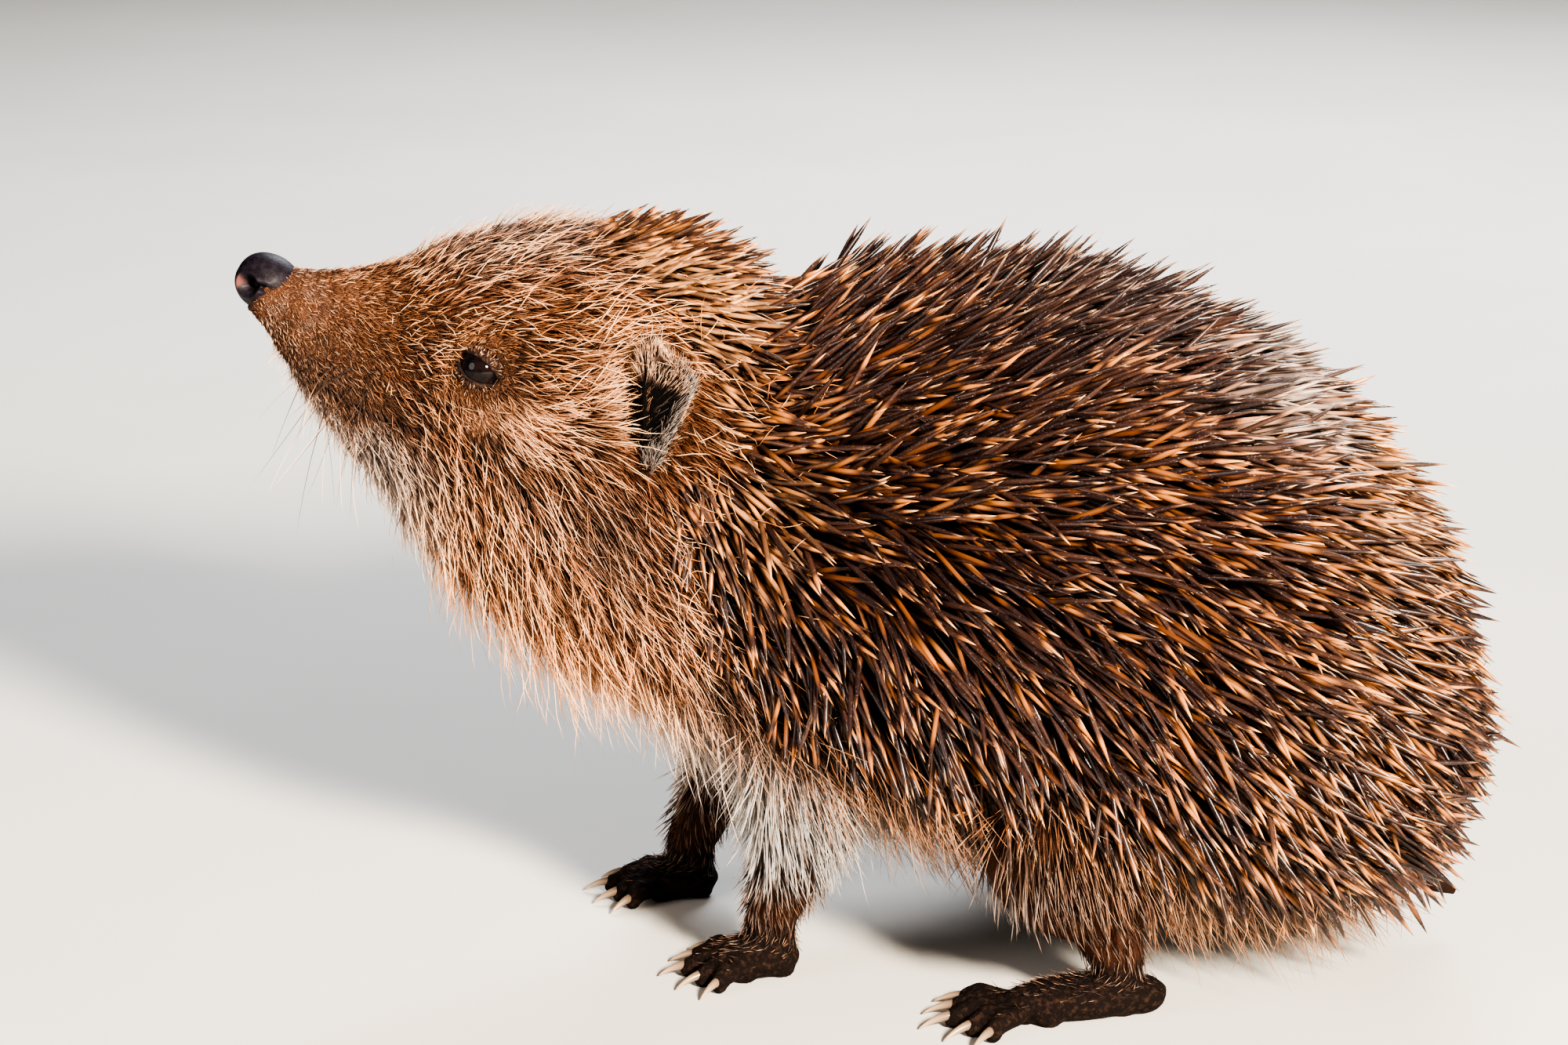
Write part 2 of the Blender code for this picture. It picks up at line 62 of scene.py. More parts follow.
# ---- Named sizes, in millimetres -------------------------------------------
# Each station is a ring of skin across the animal: its highest and lowest point on the mid-plane, its half
# width, how far the widest part sits below the middle, and how square the lower half is.
Station = namedtuple("Station", "name top_x top_z low_x low_z half_width low_swell low_square")
SKIN = [
    Station("nose_pad", -87.2, 106.4, -92.5, 99.6, 4.55, 0.00, 2.0),
    Station("lip", -84.0, 105.7, -88.9, 95.0, 5.0, 0.02, 2.0),
    Station("muzzle", -77.0, 105.7, -83.2, 86.0, 6.9, 0.06, 2.0),
    Station("stop", -69.5, 107.0, -76.4, 78.0, 9.8, 0.08, 2.0),
    Station("eyes", -60.0, 110.0, -68.0, 69.8, 14.6, 0.06, 2.0),
    Station("cheeks", -48.0, 111.8, -57.0, 59.8, 20.4, 0.08, 2.0),
    Station("ears", -36.0, 110.8, -46.6, 52.4, 24.6, 0.08, 2.1),
    Station("crown", -25.4, 106.6, -34.6, 43.4, 26.6, 0.08, 2.2),
    Station("nape", -16.0, 99.8, -22.4, 35.6, 29.0, 0.08, 2.2),
    Station("shoulder", -3.0, 99.8, -7.6, 31.6, 34.0, 0.08, 2.2),
    Station("withers", 12.0, 99.6, 8.0, 27.6, 40.0, 0.08, 2.2),
    Station("ribs", 29.0, 99.2, 26.0, 22.5, 44.5, 0.08, 2.3),
    Station("loin", 47.0, 93.4, 44.0, 17.0, 46.5, 0.08, 2.5),
    Station("hips", 63.0, 84.4, 60.0, 13.5, 44.0, 0.08, 2.6),
    Station("rump", 74.5, 73.0, 72.0, 13.5, 38.0, 0.08, 2.5),
    Station("seat", 82.0, 60.5, 80.5, 19.0, 28.0, 0.06, 2.3),
    Station("rump_end", 85.8, 47.5, 85.4, 28.0, 15.0, 0.00, 2.0),
]
NOSE_POLE, RUMP_POLE = (-91.5, 0.0, 102.9), (87.0, 0.0, 37.5)
NOSE_CENTRE, NOSE_SIZE = (-89.9, 0.0, 103.8), (5.0, 4.6, 4.35)
SOLID_EYE_AT = (-57.8, 15.0, 94.6)  # centre of the right eye's solid
EYE_AT, EYE_RADIUS = (-56.7, 15.6, 94.0), 3.5  # of the eye that shows
EYE_OUTWARD = (-0.30, 0.93, 0.20)
EYE_SINK = 0.35  # how far the eyeball's centre lies inside EYE_AT
EYE_LONG_AXIS_PITCH = 33  # degrees that the slit between the lids drops towards the back
LID_HALF_LENGTH, LID_HALF_HEIGHT = 3.1, 1.68
EAR_ROOT = (-33.3, 27.0, 80.4)
EAR_HEIGHT, EAR_HALF_WIDTH, EAR_CUP, EAR_THICKNESS = 20.6, 6.6, 4.2, 0.8
EAR_DEEP = -0.42  # where across the ear its cup is deepest, from -1 in front to 1 behind
EAR_WIDEST = 0.78  # how far up the ear it is widest
EAR_LEAN_BACK, EAR_LEAN_OUT, EAR_TURN, EAR_SINK = 8, 9, 8, 4.5
EAR_HOLLOW, EAR_GUTTER = (-33.2, 24.0, 92.2), (-32.6, 25.0, 86.0)
MOLE_AT = (-55.0, 18.5, 84.9)
LIP_LINE = ((-92.5, 96.0), (-88.0, 93.0), (-81.0, 88.4), (-74.0, 85.2), (-68.0, 84.0))

NOSTRIL = (-0.54, 0.82, -0.06)  # direction from the nose's centre, right side

Limb = namedtuple("Limb", "kind side foot_x foot_y toe_out joint_x joint_y joint_z")
LIMBS = {
    "fore_left": Limb("fore", -1, -17.0, 19.0, 6, -9.0, 24.0, 36.0),
    "fore_right": Limb("fore", 1, -30.0, 17.0, 4, -16.0, 22.0, 38.0),
    "hind_left": Limb("hind", -1, 29.0, 37.0, 14, 33.0, 35.0, 26.0),
    "hind_right": Limb("hind", 1, 37.0, 37.0, 16, 41.0, 35.0, 26.0),
}
TAIL_ROOT, TAIL_TIP = (74.0, 0.0, 17.0), (93.0, 0.0, 6.5)
TAIL_RADII = ((0, 4.0), (0.85, 1.7), (1, 0.5))  # share of its length, and radius there
FLOOR_GAP = 0.8  # how high above the floor the coat stays

DOWN = (0.0, 0.0, -1.0)
SPINE_SPACING = 1.70
TUFT_PATCH = 0.003  # how much of the unwrap one strand takes
TABLE_ROWS, TABLE_COLUMNS = 520, 432
LIMB_VOXEL, LIMB_SMOOTHING = 0.55, 4
MOST_TRIANGLES, SPLIT_TRIANGLES = 199_000, 195_000  # most in one piece, and where hair is split for it
SEED = 41


# ---- Settings --------------------------------------------------------------
def share_setting(name, description):
    """A setting that is a share of the usual amount."""
    return bpy.props.FloatProperty(
        name=name, description=description, default=1.0, min=0.1, max=2.0, subtype="FACTOR"
    )


def length_setting(name, description, default):
    """A setting that is a length, held in metres from a default in millimetres."""
    return bpy.props.FloatProperty(
        name=name, description=description, default=default * MM, min=0.0, precision=4, unit="LENGTH"
    )


def colour_setting(name, description, default):
    """A setting that is a colour."""
    return bpy.props.FloatVectorProperty(
        name=name, description=description, default=default, min=0.0, max=1.0, subtype="COLOR"
    )


class HedgehogSettings(bpy.types.PropertyGroup):
    """The coat's thickness, length and colours, and the strength of the light."""

    fur_density: share_setting("Fur density", "Hairs per area, as a share of the usual number")
    spine_density: share_setting("Spine density", "Spines per area, as a share of the usual number")
    hair_thickness: share_setting(
        "Hair thickness", "Thickness of the hair of head and body, as a share of the usual"
    )
    spine_length: length_setting("Spine length", "Length of a full-grown spine from root to tip", 17.5)
    spine_radius: length_setting("Spine radius", "Half the thickness of a full-grown spine", 0.48)
    warm_fur: colour_setting("Warm fur", "Fur of face and neck", (0.275, 0.088, 0.029))
    pale_fur: colour_setting("Pale fur", "Fur below the eye and before the ear", (0.740, 0.365, 0.200))
    dark_fur: colour_setting(
        "Dark fur", "Fur round the eye, beside the muzzle and on the feet", (0.038, 0.015, 0.008)
    )
    grey_fur: colour_setting("Grey fur", "Underfur of the forehead", (0.130, 0.092, 0.086))
    ash_fur: colour_setting("Ash fur", "Pale grey fur of chin, throat and belly", (0.300, 0.302, 0.305))
    spine_tan: colour_setting("Spine tan", "Lightest tan of the spines", (0.460, 0.180, 0.062))
    spine_horn: colour_setting(
        "Spine horn", "Lightest colour of the spines' near black bands", (0.027, 0.014, 0.014)
    )
    key_power: bpy.props.FloatProperty(
        name="Key light", description="Power of the main light", default=51.0, min=0.0, unit="POWER"
    )


# ---- Small helpers ---------------------------------------------------------
def smooth(low, high, value):
    """0 at low and before it, 1 at high and past it, and an S curve between; low may be the greater of the
    two."""
    t = np.clip((np.asarray(value, float) - low) / (high - low), 0, 1)
    return t * t * (3 - 2 * t)


def bump(points, centre, radius, power=2.0):
    """1 at centre, falling off as a bell with the distance over radius, raised to power."""
    away = np.linalg.norm((points - np.asarray(centre, float)) / np.asarray(radius, float), axis=-1)
    return np.exp(-(away**power))


def unit(vectors):
    """The vectors brought to length 1."""
    return vectors / np.maximum(np.linalg.norm(vectors, axis=-1, keepdims=True), 1e-9)


Spot = namedtuple("Spot", "name strength centre radius power")


def summed(points, spots, how=np.sum):
    """The sum of the spots at each point; a spot is its strength times a bell round its centre."""
    return how([spot.strength * bump(points, spot.centre, spot.radius, spot.power) for spot in spots], axis=0)


def strongest(points, spots):
    """The greatest of the spots at each point."""
    return summed(points, spots, np.max)


def folded(points):
    """The same points with the left side laid over the right, as the markings are the same on both."""
    out = np.array(points, float)
    out[..., 1] = np.abs(out[..., 1])
    return out


def along_skin(ways, normals):
    """The part of each direction that lies in the skin: the direction less its share of the normal."""
    return ways - normals * np.sum(ways * normals, -1, keepdims=True)


def swung(lie, normals, angle):
    """Directions in the skin turned about its normal by angle."""
    return lie * np.cos(angle)[:, None] + np.cross(normals, lie) * np.sin(angle)[:, None]


def leaning(lie, normals, angle):
    """Directions that stand up from the skin by angle: the lie by its cosine plus the normal by its
    sine."""
    return unit(lie * np.cos(angle)[:, None] + normals * np.sin(angle)[:, None])


def along_line(value, line):
    """The line's second number at value, straight between its points."""
    return np.interp(value, *np.array(line, float).T)


def shift_to_frame():
    """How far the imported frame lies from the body's own frame: the way from where the right eye's solid is
    drawn here to the middle of its box."""
    low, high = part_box("eye_right")
    centre = (np.array(low) + np.array(high)) / 2 / MM
    return centre - np.array(SOLID_EYE_AT)


SHIFT = shift_to_frame()


def place(points):
    """Points of the body's own frame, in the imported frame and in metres."""
    return (np.asarray(points, float) + SHIFT) * MM


def turned(axis, degrees):
    """The 3 x 3 matrix of a turn about X, Y or Z."""
    c, s = np.cos(np.radians(degrees)), np.sin(np.radians(degrees))
    rows = {
        "X": [[1, 0, 0], [0, c, -s], [0, s, c]],
        "Y": [[c, 0, s], [0, 1, 0], [-s, 0, c]],
        "Z": [[c, -s, 0], [s, c, 0], [0, 0, 1]],
    }
    return np.array(rows[axis], float)


def wavy(points, size, seed=0.0):
    """A gentle unevenness between -1 and 1: sines of the position along three slanted directions."""
    x, y, z = (points[..., i] / size for i in range(3))
    waves = np.sin(1.7 * x + 1.1 * y - 0.6 * z + seed) + np.sin(-0.9 * x + 1.9 * y + 1.3 * z + 2.1 * seed)
    return (waves + np.sin(0.8 * x - 1.4 * y + 2.2 * z - seed)) / 3


# ---- The skin as a table of points -----------------------------------------
def station_values(s):
    """Station values along SKIN at the array s, on a smooth curve through them all."""
    rows = np.array([row[1:] for row in SKIN], float)
    last = len(rows) - 1
    s = np.clip(s, 0, last)
    i = np.minimum(s.astype(int), last - 1)
    t = (s - i)[:, None]
    start, end = rows[i], rows[i + 1]
    out, back = (end - rows[np.maximum(i - 1, 0)]) / 2, (rows[np.minimum(i + 2, last)] - start) / 2
    return (
        (2 * t**3 - 3 * t**2 + 1) * start
        + (t**3 - 2 * t**2 + t) * out
        + (3 * t**2 - 2 * t**3) * end
        + (t**3 - t**2) * back
    )


def raw_rings(s, angles):
    """Rings at stations s: half ellipses above the widest line, squarer ones below. Past either end, s from
    -1 to 0 and from the last station to one more draws the rounded caps over the poles."""
    last = len(SKIN) - 1
    top_x, top_z, low_x, low_z, half_width, swell, square = station_values(s).T
    middle = np.stack([(top_x + low_x) / 2, 0 * top_x, (top_z + low_z) / 2], -1)
    up = np.stack([(top_x - low_x) / 2, 0 * top_x, (top_z - low_z) / 2], -1)
    c, n = np.cos(angles)[None, :], np.sin(angles)[None, :]
    power = np.where(c > 0, 1.0, (2 / square)[:, None])
    across = np.abs(n) ** power * np.sign(n)
    along = np.abs(c) ** power * np.sign(c)
    wide = half_width[:, None] * (1 - swell[:, None] * c)
    ring = up[:, None, :] * along[..., None]
    ring[..., 1] += wide * across
    over = np.clip(np.maximum(s - last, -s), 0, 1) * np.pi / 2
    pole = np.where((s > last)[:, None], np.array(RUMP_POLE), np.array(NOSE_POLE)) - middle
    over = over[:, None, None]
    return middle[:, None, :] + ring * np.cos(over) + pole[:, None, :] * np.sin(over)


def even_in_arc(rings, count):
    """Each closed ring redrawn with count points evenly spaced along it, from its first point on."""
    closed = np.concatenate([rings, rings[:, :1]], 1)
    steps = np.linalg.norm(np.diff(closed, axis=1), axis=-1)
    length = np.concatenate([np.zeros((len(rings), 1)), np.cumsum(steps, 1)], 1)
    out = np.empty((len(rings), count, 3))
    for row in range(len(rings)):
        wanted = np.arange(count) / count * length[row, -1]
        for axis in range(3):
            out[row, :, axis] = np.interp(wanted, length[row], closed[row, :, axis])
    return out


def blurred(values, passes, weight):
    """values smoothed along their rows' direction, more where weight is 1 than where it is 0."""
    for _ in range(passes):
        near = np.concatenate([values[:1], values, values[-1:]])
        mean = (near[:-2] + near[2:]) / 2
        values = values + (mean - values) * 0.5 * weight
    return values


def surface_normals(points):
    """Outward normals and backward tangents of a table of rings."""
    back = np.gradient(points, axis=0)
    near = np.concatenate([points[:, -1:], points, points[:, :1]], 1)
    round_ = (near[:, 2:] - near[:, :-2]) / 2
    normal = unit(np.cross(round_, back))
    centre = points.mean(1, keepdims=True)
    flip = np.sign(np.sum((points - centre) * normal, -1).mean())
    return normal * flip, unit(back)


def lip_height(x):
    """Height of the line between the lips at x, straight between its points."""
    return along_line(x, LIP_LINE)


RELIEF = (
    Spot("brow", 0.9, (-57.5, 14.5, 100.5), (5, 5, 3.4), 2),
    Spot("lower_socket_rim", 0.7, (-61.5, 15, 89.8), (4.5, 4, 2.6), 2),
    Spot("cheek", 1.3, (-52, 20, 82), (8, 9, 9), 2),
    Spot("whisker_pad", 0.9, (-81.5, 6, 93.5), (5.5, 5, 3.6), 2),
    Spot("beside_bridge", -0.7, (-71, 9, 96), (5, 6, 5), 2),
    Spot("chin", 0.5, (-84, 0, 87), (4, 3.4, 3), 2),
    Spot("eye_socket", -3.4, np.add(EYE_AT, (0, 1.6, 0.2)), (2.5, 5, 2.3), 4),
    Spot("ear_hollow", -4.2, EAR_HOLLOW, (4.8, 7.0, 6.4), 4),
    Spot("ear_gutter", -1.6, EAR_GUTTER, (4.0, 7.0, 4.0), 3),
    Spot("mole", 0.55, MOLE_AT, (0.9, 3.0, 0.8), 3),
)


def face_relief(points):
    """How far the skin of the face stands out from the plain rings, in millimetres: the sum of the relief's
    spots, a groove between two ridges along the lips, and fine folds behind the nose."""
    p = folded(points)
    x, z = p[..., 0], p[..., 2]
    along_lip = smooth(-67, -72, x) * smooth(-93.5, -90.5, x) * smooth(0.3, 2.0, p[..., 1])
    off = z - lip_height(x)
    relief = summed(p, RELIEF) - 0.95 * along_lip * np.exp(-((off / 0.5) ** 2))
    relief += 0.40 * along_lip * np.exp(-(((off - 1.3) / 0.9) ** 2))
    relief += 0.22 * along_lip * np.exp(-(((off + 1.1) / 0.8) ** 2))
    fold = smooth(-80, -86, x) * smooth(0.4, 2.4, p[..., 1]) * smooth(103, 100, z)
    return relief + 0.12 * fold * np.sin(3.1 * x + 2.2 * z) + 0.05 * wavy(p, 0.7) * smooth(-70, -78, x)


def skin_table():
    """Points, outward normals, backward tangents and station numbers of the whole skin of head and body:
    rings spaced evenly along the animal, closer at its ends, evened out behind the head, with the face's
    relief added along the normals."""
    last = len(SKIN) - 1
    fine = np.linspace(-1, last + 1, 1500)
    probes = raw_rings(fine, np.radians([0, 70, 110, 180]))
    steps = np.linalg.norm(np.diff(probes, axis=0), axis=-1).mean(1)
    run = np.concatenate([[0], np.cumsum(steps)])
    at = np.linspace(0, 1, TABLE_ROWS)
    at = at - 0.11 * np.sin(2 * np.pi * at) / np.pi
    s = np.interp(at * run[-1], run, fine)
    rings = raw_rings(s, np.arange(1440) / 1440 * 2 * np.pi)
    points = even_in_arc(rings, TABLE_COLUMNS)
    points = blurred(points, 60, smooth(5.0, 7.0, s)[:, None, None])
    normals, _ = surface_normals(points)
    relief = face_relief(points) * smooth(8.0, 7.0, s)[:, None]
    points = points + normals * relief[..., None]
    points[0], points[-1] = points[0].mean(0), points[-1].mean(0)
    normals, back = surface_normals(points)
    return points, normals, back, s


POINTS, NORMALS, BACKWARD, STATION = skin_table()


def pick(table, u, v):
    """The table's values at row u and column v, both fractional, blended between the four nearest."""
    u = np.clip(u, 0, len(table) - 1.001)
    i, j = np.floor(u).astype(int), np.floor(v).astype(int)
    a, b = (u - i)[:, None], (v - j)[:, None]
    columns = table.shape[1]
    j0, j1 = j % columns, (j + 1) % columns
    near = table[i, j0] * (1 - b) + table[i, j1] * b
    far = table[i + 1, j0] * (1 - b) + table[i + 1, j1] * b
    return near * (1 - a) + far * a


# ---- Markings and the lie of the coat --------------------------------------
MANTLE_FRONT = (  # height, and how far forward the spines reach at that height
    (-10, 70), (6.5, 50), (20, 29), (28, 16), (38, 2), (44, -11), (49, -18), (60, -24), (71, -29), (78, -29),
    (88, -23), (95, -24), (103, -32), (107, -38), (111, -42), (125, -44),
)
THROAT_LINE = ((-75, 80), (-60, 66), (-45, 58), (-30, 53), (-18, 50), (0, 44), (30, 30), (60, 18))
FOREHEAD_LINE = ((-90, 112), (-74, 101), (-60, 95), (-45, 96), (-30, 99))
PALE_FUR = (
    Spot("below_eye", 1.0, (-49.5, 19, 87.2), (8.5, 9, 4.4), 3),
    Spot("before_ear", 0.62, (-38.8, 25, 93), (4.8, 8, 7.5), 3),
)
DARK_FUR = (
    Spot("muzzle_side", 0.78, (-78, 6, 93.2), (8.0, 9, 5.2), 2),
    Spot("jaw", 0.56, (-67, 12, 85), (9, 9, 6.5), 2),
    Spot("eye_ring", 0.92, EYE_AT, (5.0, 7, 4.4), 2),
    # Painted shade in the crease behind the cheek.
    Spot("shade_behind_cheek", 0.80, (-39, 24, 75), (6.0, 10, 8), 2),
    # Painted shade along the middle of the head's top.
    Spot("shade_on_head_top", 0.62, (-40, 4, 111), (7.0, 12, 5), 2),
    Spot("mole", 1.0, MOLE_AT, (1.3, 4, 1.2), 3),
    # Painted shade: the ear's hollow is made black.
    Spot("ear_hollow", 1.0, EAR_HOLLOW, (3.9, 9, 6.6), 6),
)
PALE_SPINES = (
    Spot("rump_patch", 0.52, (53, 13, 89), (10.5, 16, 8), 3),
    Spot("rump", 0.40, (68, 16, 78), (12, 22, 14), 2),
    Spot("hip", 0.15, (62, 40, 50), (20, 20, 26), 2),
    Spot("neck_side", 0.40, (-19, 30, 77), (8, 14, 9), 3),
)
# Near black spines: their own dark bands, and partly painted shade in the notch behind the neck and along the
# top of the back.
DARK_SPINES = (
    Spot("nape", 0.78, (-5, 22, 97), (12, 22, 14), 3),
    Spot("back", 1.0, (26, 12, 102), (42, 30, 20), 4),
    Spot("flank", 0.62, (12, 40, 62), (32, 30, 32), 2),
)
ASH_SPINES = (
    Spot("rump_patch", 0.75, (51, 13, 90), (12, 18, 9), 3),
    Spot("ridge", 0.45, (30, 8, 101), (20, 18, 10), 3),
)
FUR_TURNS = (  # how much further than back the hair turns down, or up where it is negative
    Spot("cheek", 1.15, (-52, 20, 72), (16, 16, 16), 2),
    Spot("before_ear", -0.98, (-39.5, 23, 93.5), (7.5, 16, 9), 3),
    Spot("brow", -0.30, (-58, 12, 106), (12, 14, 6), 2),
    Spot("below_eye", -0.45, (-49, 19, 87), (8.5, 9, 5.5), 3),
)
FUR_LENGTH = (  # place along the animal, and the hair's length there
    (-92, 0.8), (-86, 1.1), (-80, 1.6), (-72, 2.9), (-64, 4.8), (-56, 6.2), (-48, 7.8), (-38, 9.2),
    (-28, 10.5), (-10, 12.5), (30, 13.5), (90, 11.0),
)


def mantle_edge(points):
    """How far behind the front edge of the spines a point lies, in millimetres, negative in the fur."""
    p = folded(points)
    return p[..., 0] - along_line(p[..., 2], MANTLE_FRONT) + 1.6 * wavy(points, 4.0, 1.3)


def underside(normals):
    """1 where the surface faces down, 0 where it faces sideways or up."""
    return smooth(-0.38, -0.72, normals[..., 2])


def markings(points):
    """The coat's pale, dark and grey shares at each point, the same for the skin and for what grows from
    it: the spots, of which those behind the cheek, on the top of the head and in the ear's hollow are
    painted shade, the chin below the lips, the throat below its line, the lips, a mottled muzzle, the legs
    and the fringe under the spines."""
    p = folded(points)
    x, y, z = p[..., 0], p[..., 1], p[..., 2]
    rough = wavy(points, 2.6, 0.4)
    above_lip = z - lip_height(x)
    muzzle = smooth(-0.6, 0.5, wavy(points, 0.9, 1.0)) * bump(p, (-81, 5, 100), (9, 9, 7))
    chin = smooth(1.6, -2.6, above_lip + 1.5 * rough) * smooth(-58, -74, x)
    throat = smooth(1, -12, z - along_line(x, THROAT_LINE) + 3 * rough)
    lip = np.exp(-(((above_lip - 1.4 + rough) / 2.6) ** 2)) * smooth(-91, -87, x) * smooth(-64, -72, x)
    mottled = smooth(0.0, 0.45, wavy(points, 1.6, 2.0)) * smooth(-64, -76, x) * (1 - 0.6 * chin)
    legs = smooth(24, 14, z)
    fringe = smooth(-10, -4, mantle_edge(points) + 2 * rough) * smooth(58, 48, z)
    hip = smooth(8, 32, x) * smooth(34, 22, z) * smooth(26, 34, y)
    mottled = mottled * (0.40 + 0.45 * smooth(102, 95, z))
    spots = strongest(p, DARK_FUR)
    dark = np.max([spots, 0.85 * lip, mottled, 0.9 * legs, 0.88 * fringe, 0.75 * hip], axis=0)
    pale = np.max([strongest(p, PALE_FUR), 0.95 * chin, throat, 0.30 * muzzle], axis=0)
    pale = pale * (1 - 0.9 * dark) * (1 - 0.55 * legs)
    forehead = smooth(4, 16, z - along_line(x, FOREHEAD_LINE)) * smooth(-76, -66, x) * smooth(20, 6, y)
    specks = smooth(-72, -82, x) * (0.22 + 0.30 * smooth(-0.2, 0.6, wavy(points, 1.4, 4.0)))
    grey = np.max([0.8 * forehead, 0.95 * throat * smooth(-42, -18, x), 0.72 * chin, specks], axis=0)
    return {"pale": np.clip(pale, 0, 1), "dark": np.clip(dark, 0, 1), "grey": np.clip(grey, 0, 1)}


def spine_markings(points):
    """How pale, dark and ashen the spines are at each point: blond over the crown, near black along the
    ridge and the withers, there partly their own colour and partly painted shade, darker towards the
    bottom, with painted shade low on the back of the rump, and ashen and pale on a patch high on the rump."""
    p = folded(points)
    x, y, z = p[..., 0], p[..., 1], p[..., 2]
    crown = smooth(-16, -25, x) * smooth(78, 92, z) * (1 - 0.7 * smooth(9, 3, y))
    pale = np.maximum(strongest(p, PALE_SPINES), 0.62 * crown)
    ridge = smooth(20, 6, y + 3 * wavy(points, 6)) * smooth(-20, -12, x) * smooth(58, 46, x)
    dark = np.maximum(strongest(p, DARK_SPINES), 0.8 * ridge)
    dark = dark + 0.25 * wavy(points, 4.5, 3.0) * smooth(-20, -8, x)
    # Darker towards the bottom of the sides, and painted shade low on the back of the rump (seat).
    skirt, seat = smooth(40, 16, z), smooth(76, 84, x) * smooth(64, 46, z)
    dark = np.max([dark, 0.6 * skirt, 0.6 * seat], axis=0)
    dark = dark * (1 - 0.55 * bump(p, (54, 13, 89), (9.5, 15, 8), 4))
    return np.clip(pale, 0, 1), np.clip(dark, 0, 1), strongest(p, ASH_SPINES)


def fur_length(points, normals):
    """Length of the hair in millimetres: a velvet on the muzzle, longer over cheek and brow, longest on the
    throat, chest and along the flank's lower edge."""
    p = folded(points)
    x, z = p[..., 0], p[..., 2]
    length = along_line(x, FUR_LENGTH)
    down = smooth(0.1, -0.7, normals[..., 2])
    length = length * (1 + 1.25 * down * smooth(-91, -84, x) * smooth(-30, -55, x))
    eye = np.linalg.norm(p - np.array(EYE_AT), axis=-1)
    length = length * (0.26 + 0.74 * smooth(3.8, 9.0, eye))
    tuft = bump(p, (-40.5, 25, 92), (5, 8, 9), 3)
    chest = bump(p, (-14, 20, 42), (14, 16, 13))
    near_spines = smooth(-10, -2, mantle_edge(points)) * smooth(44, 58, z)
    length = length * (1 + 0.12 * tuft + 0.25 * chest) * (1 - 0.38 * near_spines)
    before_ear = bump(p, (-38, 24, 88.5), (10, 16, 8.5), 4)
    reach = np.clip((EAR_HOLLOW[0] - 2.0 - x) * 1.5 + 1.0, 1.6, None)
    length = length * (1 - 0.72 * bump(p, (-57.4, 18.5, 86.4), (3.4, 7, 2.6), 3))
    return length + (np.minimum(length, reach) - length) * before_ear


def fur_lift(points, normals):
    """How many times more than elsewhere the hair stands up: over the forehead, under the chin, on the
    throat."""
    p = folded(points)
    forehead = smooth(-82, -68, p[..., 0]) * smooth(-0.1, 0.7, normals[..., 2]) * smooth(-20, -34, p[..., 0])
    under = smooth(-0.05, -0.75, normals[..., 2]) * smooth(-92, -84, p[..., 0])
    return 1 + 0.12 * forehead + 1.15 * under


def fur_direction(points, normals, back):
    """Which way the hair lies along the skin: back from the nose, turned down over cheek and throat and up
    before the ear, and away from the eye all round it."""
    p = folded(points)
    x, z = p[..., 0], p[..., 2]
    down = along_skin(np.array(DOWN), normals)
    neck = smooth(64, 44, z) * smooth(-60, -30, x)
    turn = 0.10 + 0.9 * neck + 0.5 * smooth(0, 20, x) + summed(p, FUR_TURNS)
    away = p - np.array(EYE_AT)
    away[..., 1] = away[..., 1] * np.sign(points[..., 1] + 1e-9)
    round_eye = bump(p, EYE_AT, (7.5, 9, 7), 3)[..., None]
    return unit(along_skin(back + down * turn[..., None] + 0.8 * round_eye * unit(away), normals))


# ---- Mesh builders ---------------------------------------------------------
def mesh_object(name, vertices, faces, material, smooth_faces=True, attributes=None, uv=None):
    """One object from arrays: vertices in millimetres, faces as a list of index arrays, each of faces with
    the same number of corners, attributes by name and value per vertex, uv one place per vertex."""
    mesh = bpy.data.meshes.new(name)
    sizes = np.concatenate([np.full(len(f), f.shape[1], np.int32) for f in faces])
    loops = np.concatenate([f.ravel() for f in faces]).astype(np.int32)
    mesh.vertices.add(len(vertices))
    mesh.vertices.foreach_set("co", place(vertices).ravel())
    mesh.loops.add(len(loops))
    mesh.loops.foreach_set("vertex_index", loops)
    mesh.polygons.add(len(sizes))
    mesh.polygons.foreach_set("loop_start", np.concatenate([[0], np.cumsum(sizes)[:-1]]).astype(np.int32))
    mesh.polygons.foreach_set("loop_total", sizes)
    mesh.update(calc_edges=True)
    mesh.polygons.foreach_set("use_smooth", np.full(len(sizes), smooth_faces))
    for key, values in (attributes or {}).items():
        layer = mesh.attributes.new(key, "FLOAT", "POINT")
        layer.data.foreach_set("value", np.asarray(values, np.float32).ravel())
    if uv is not None:
        layer = mesh.uv_layers.new(name="OFBake")
        layer.data.foreach_set("uv", np.clip(uv[loops], 0, 1).astype(np.float32).ravel())
    mesh.materials.append(material)
    obj = bpy.data.objects.new(name, mesh)
    bpy.context.scene.collection.objects.link(obj)
    return obj


def ring_faces(rows, columns, offset=0):
    """Quads between closed rings of points laid out row by row."""
    i = np.arange(rows - 1)[:, None] * columns
    j = np.arange(columns)[None, :]
    k = (j + 1) % columns
    quads = np.stack([i + j, i + k, i + columns + k, i + columns + j], -1)
    return quads.reshape(-1, 4) + offset


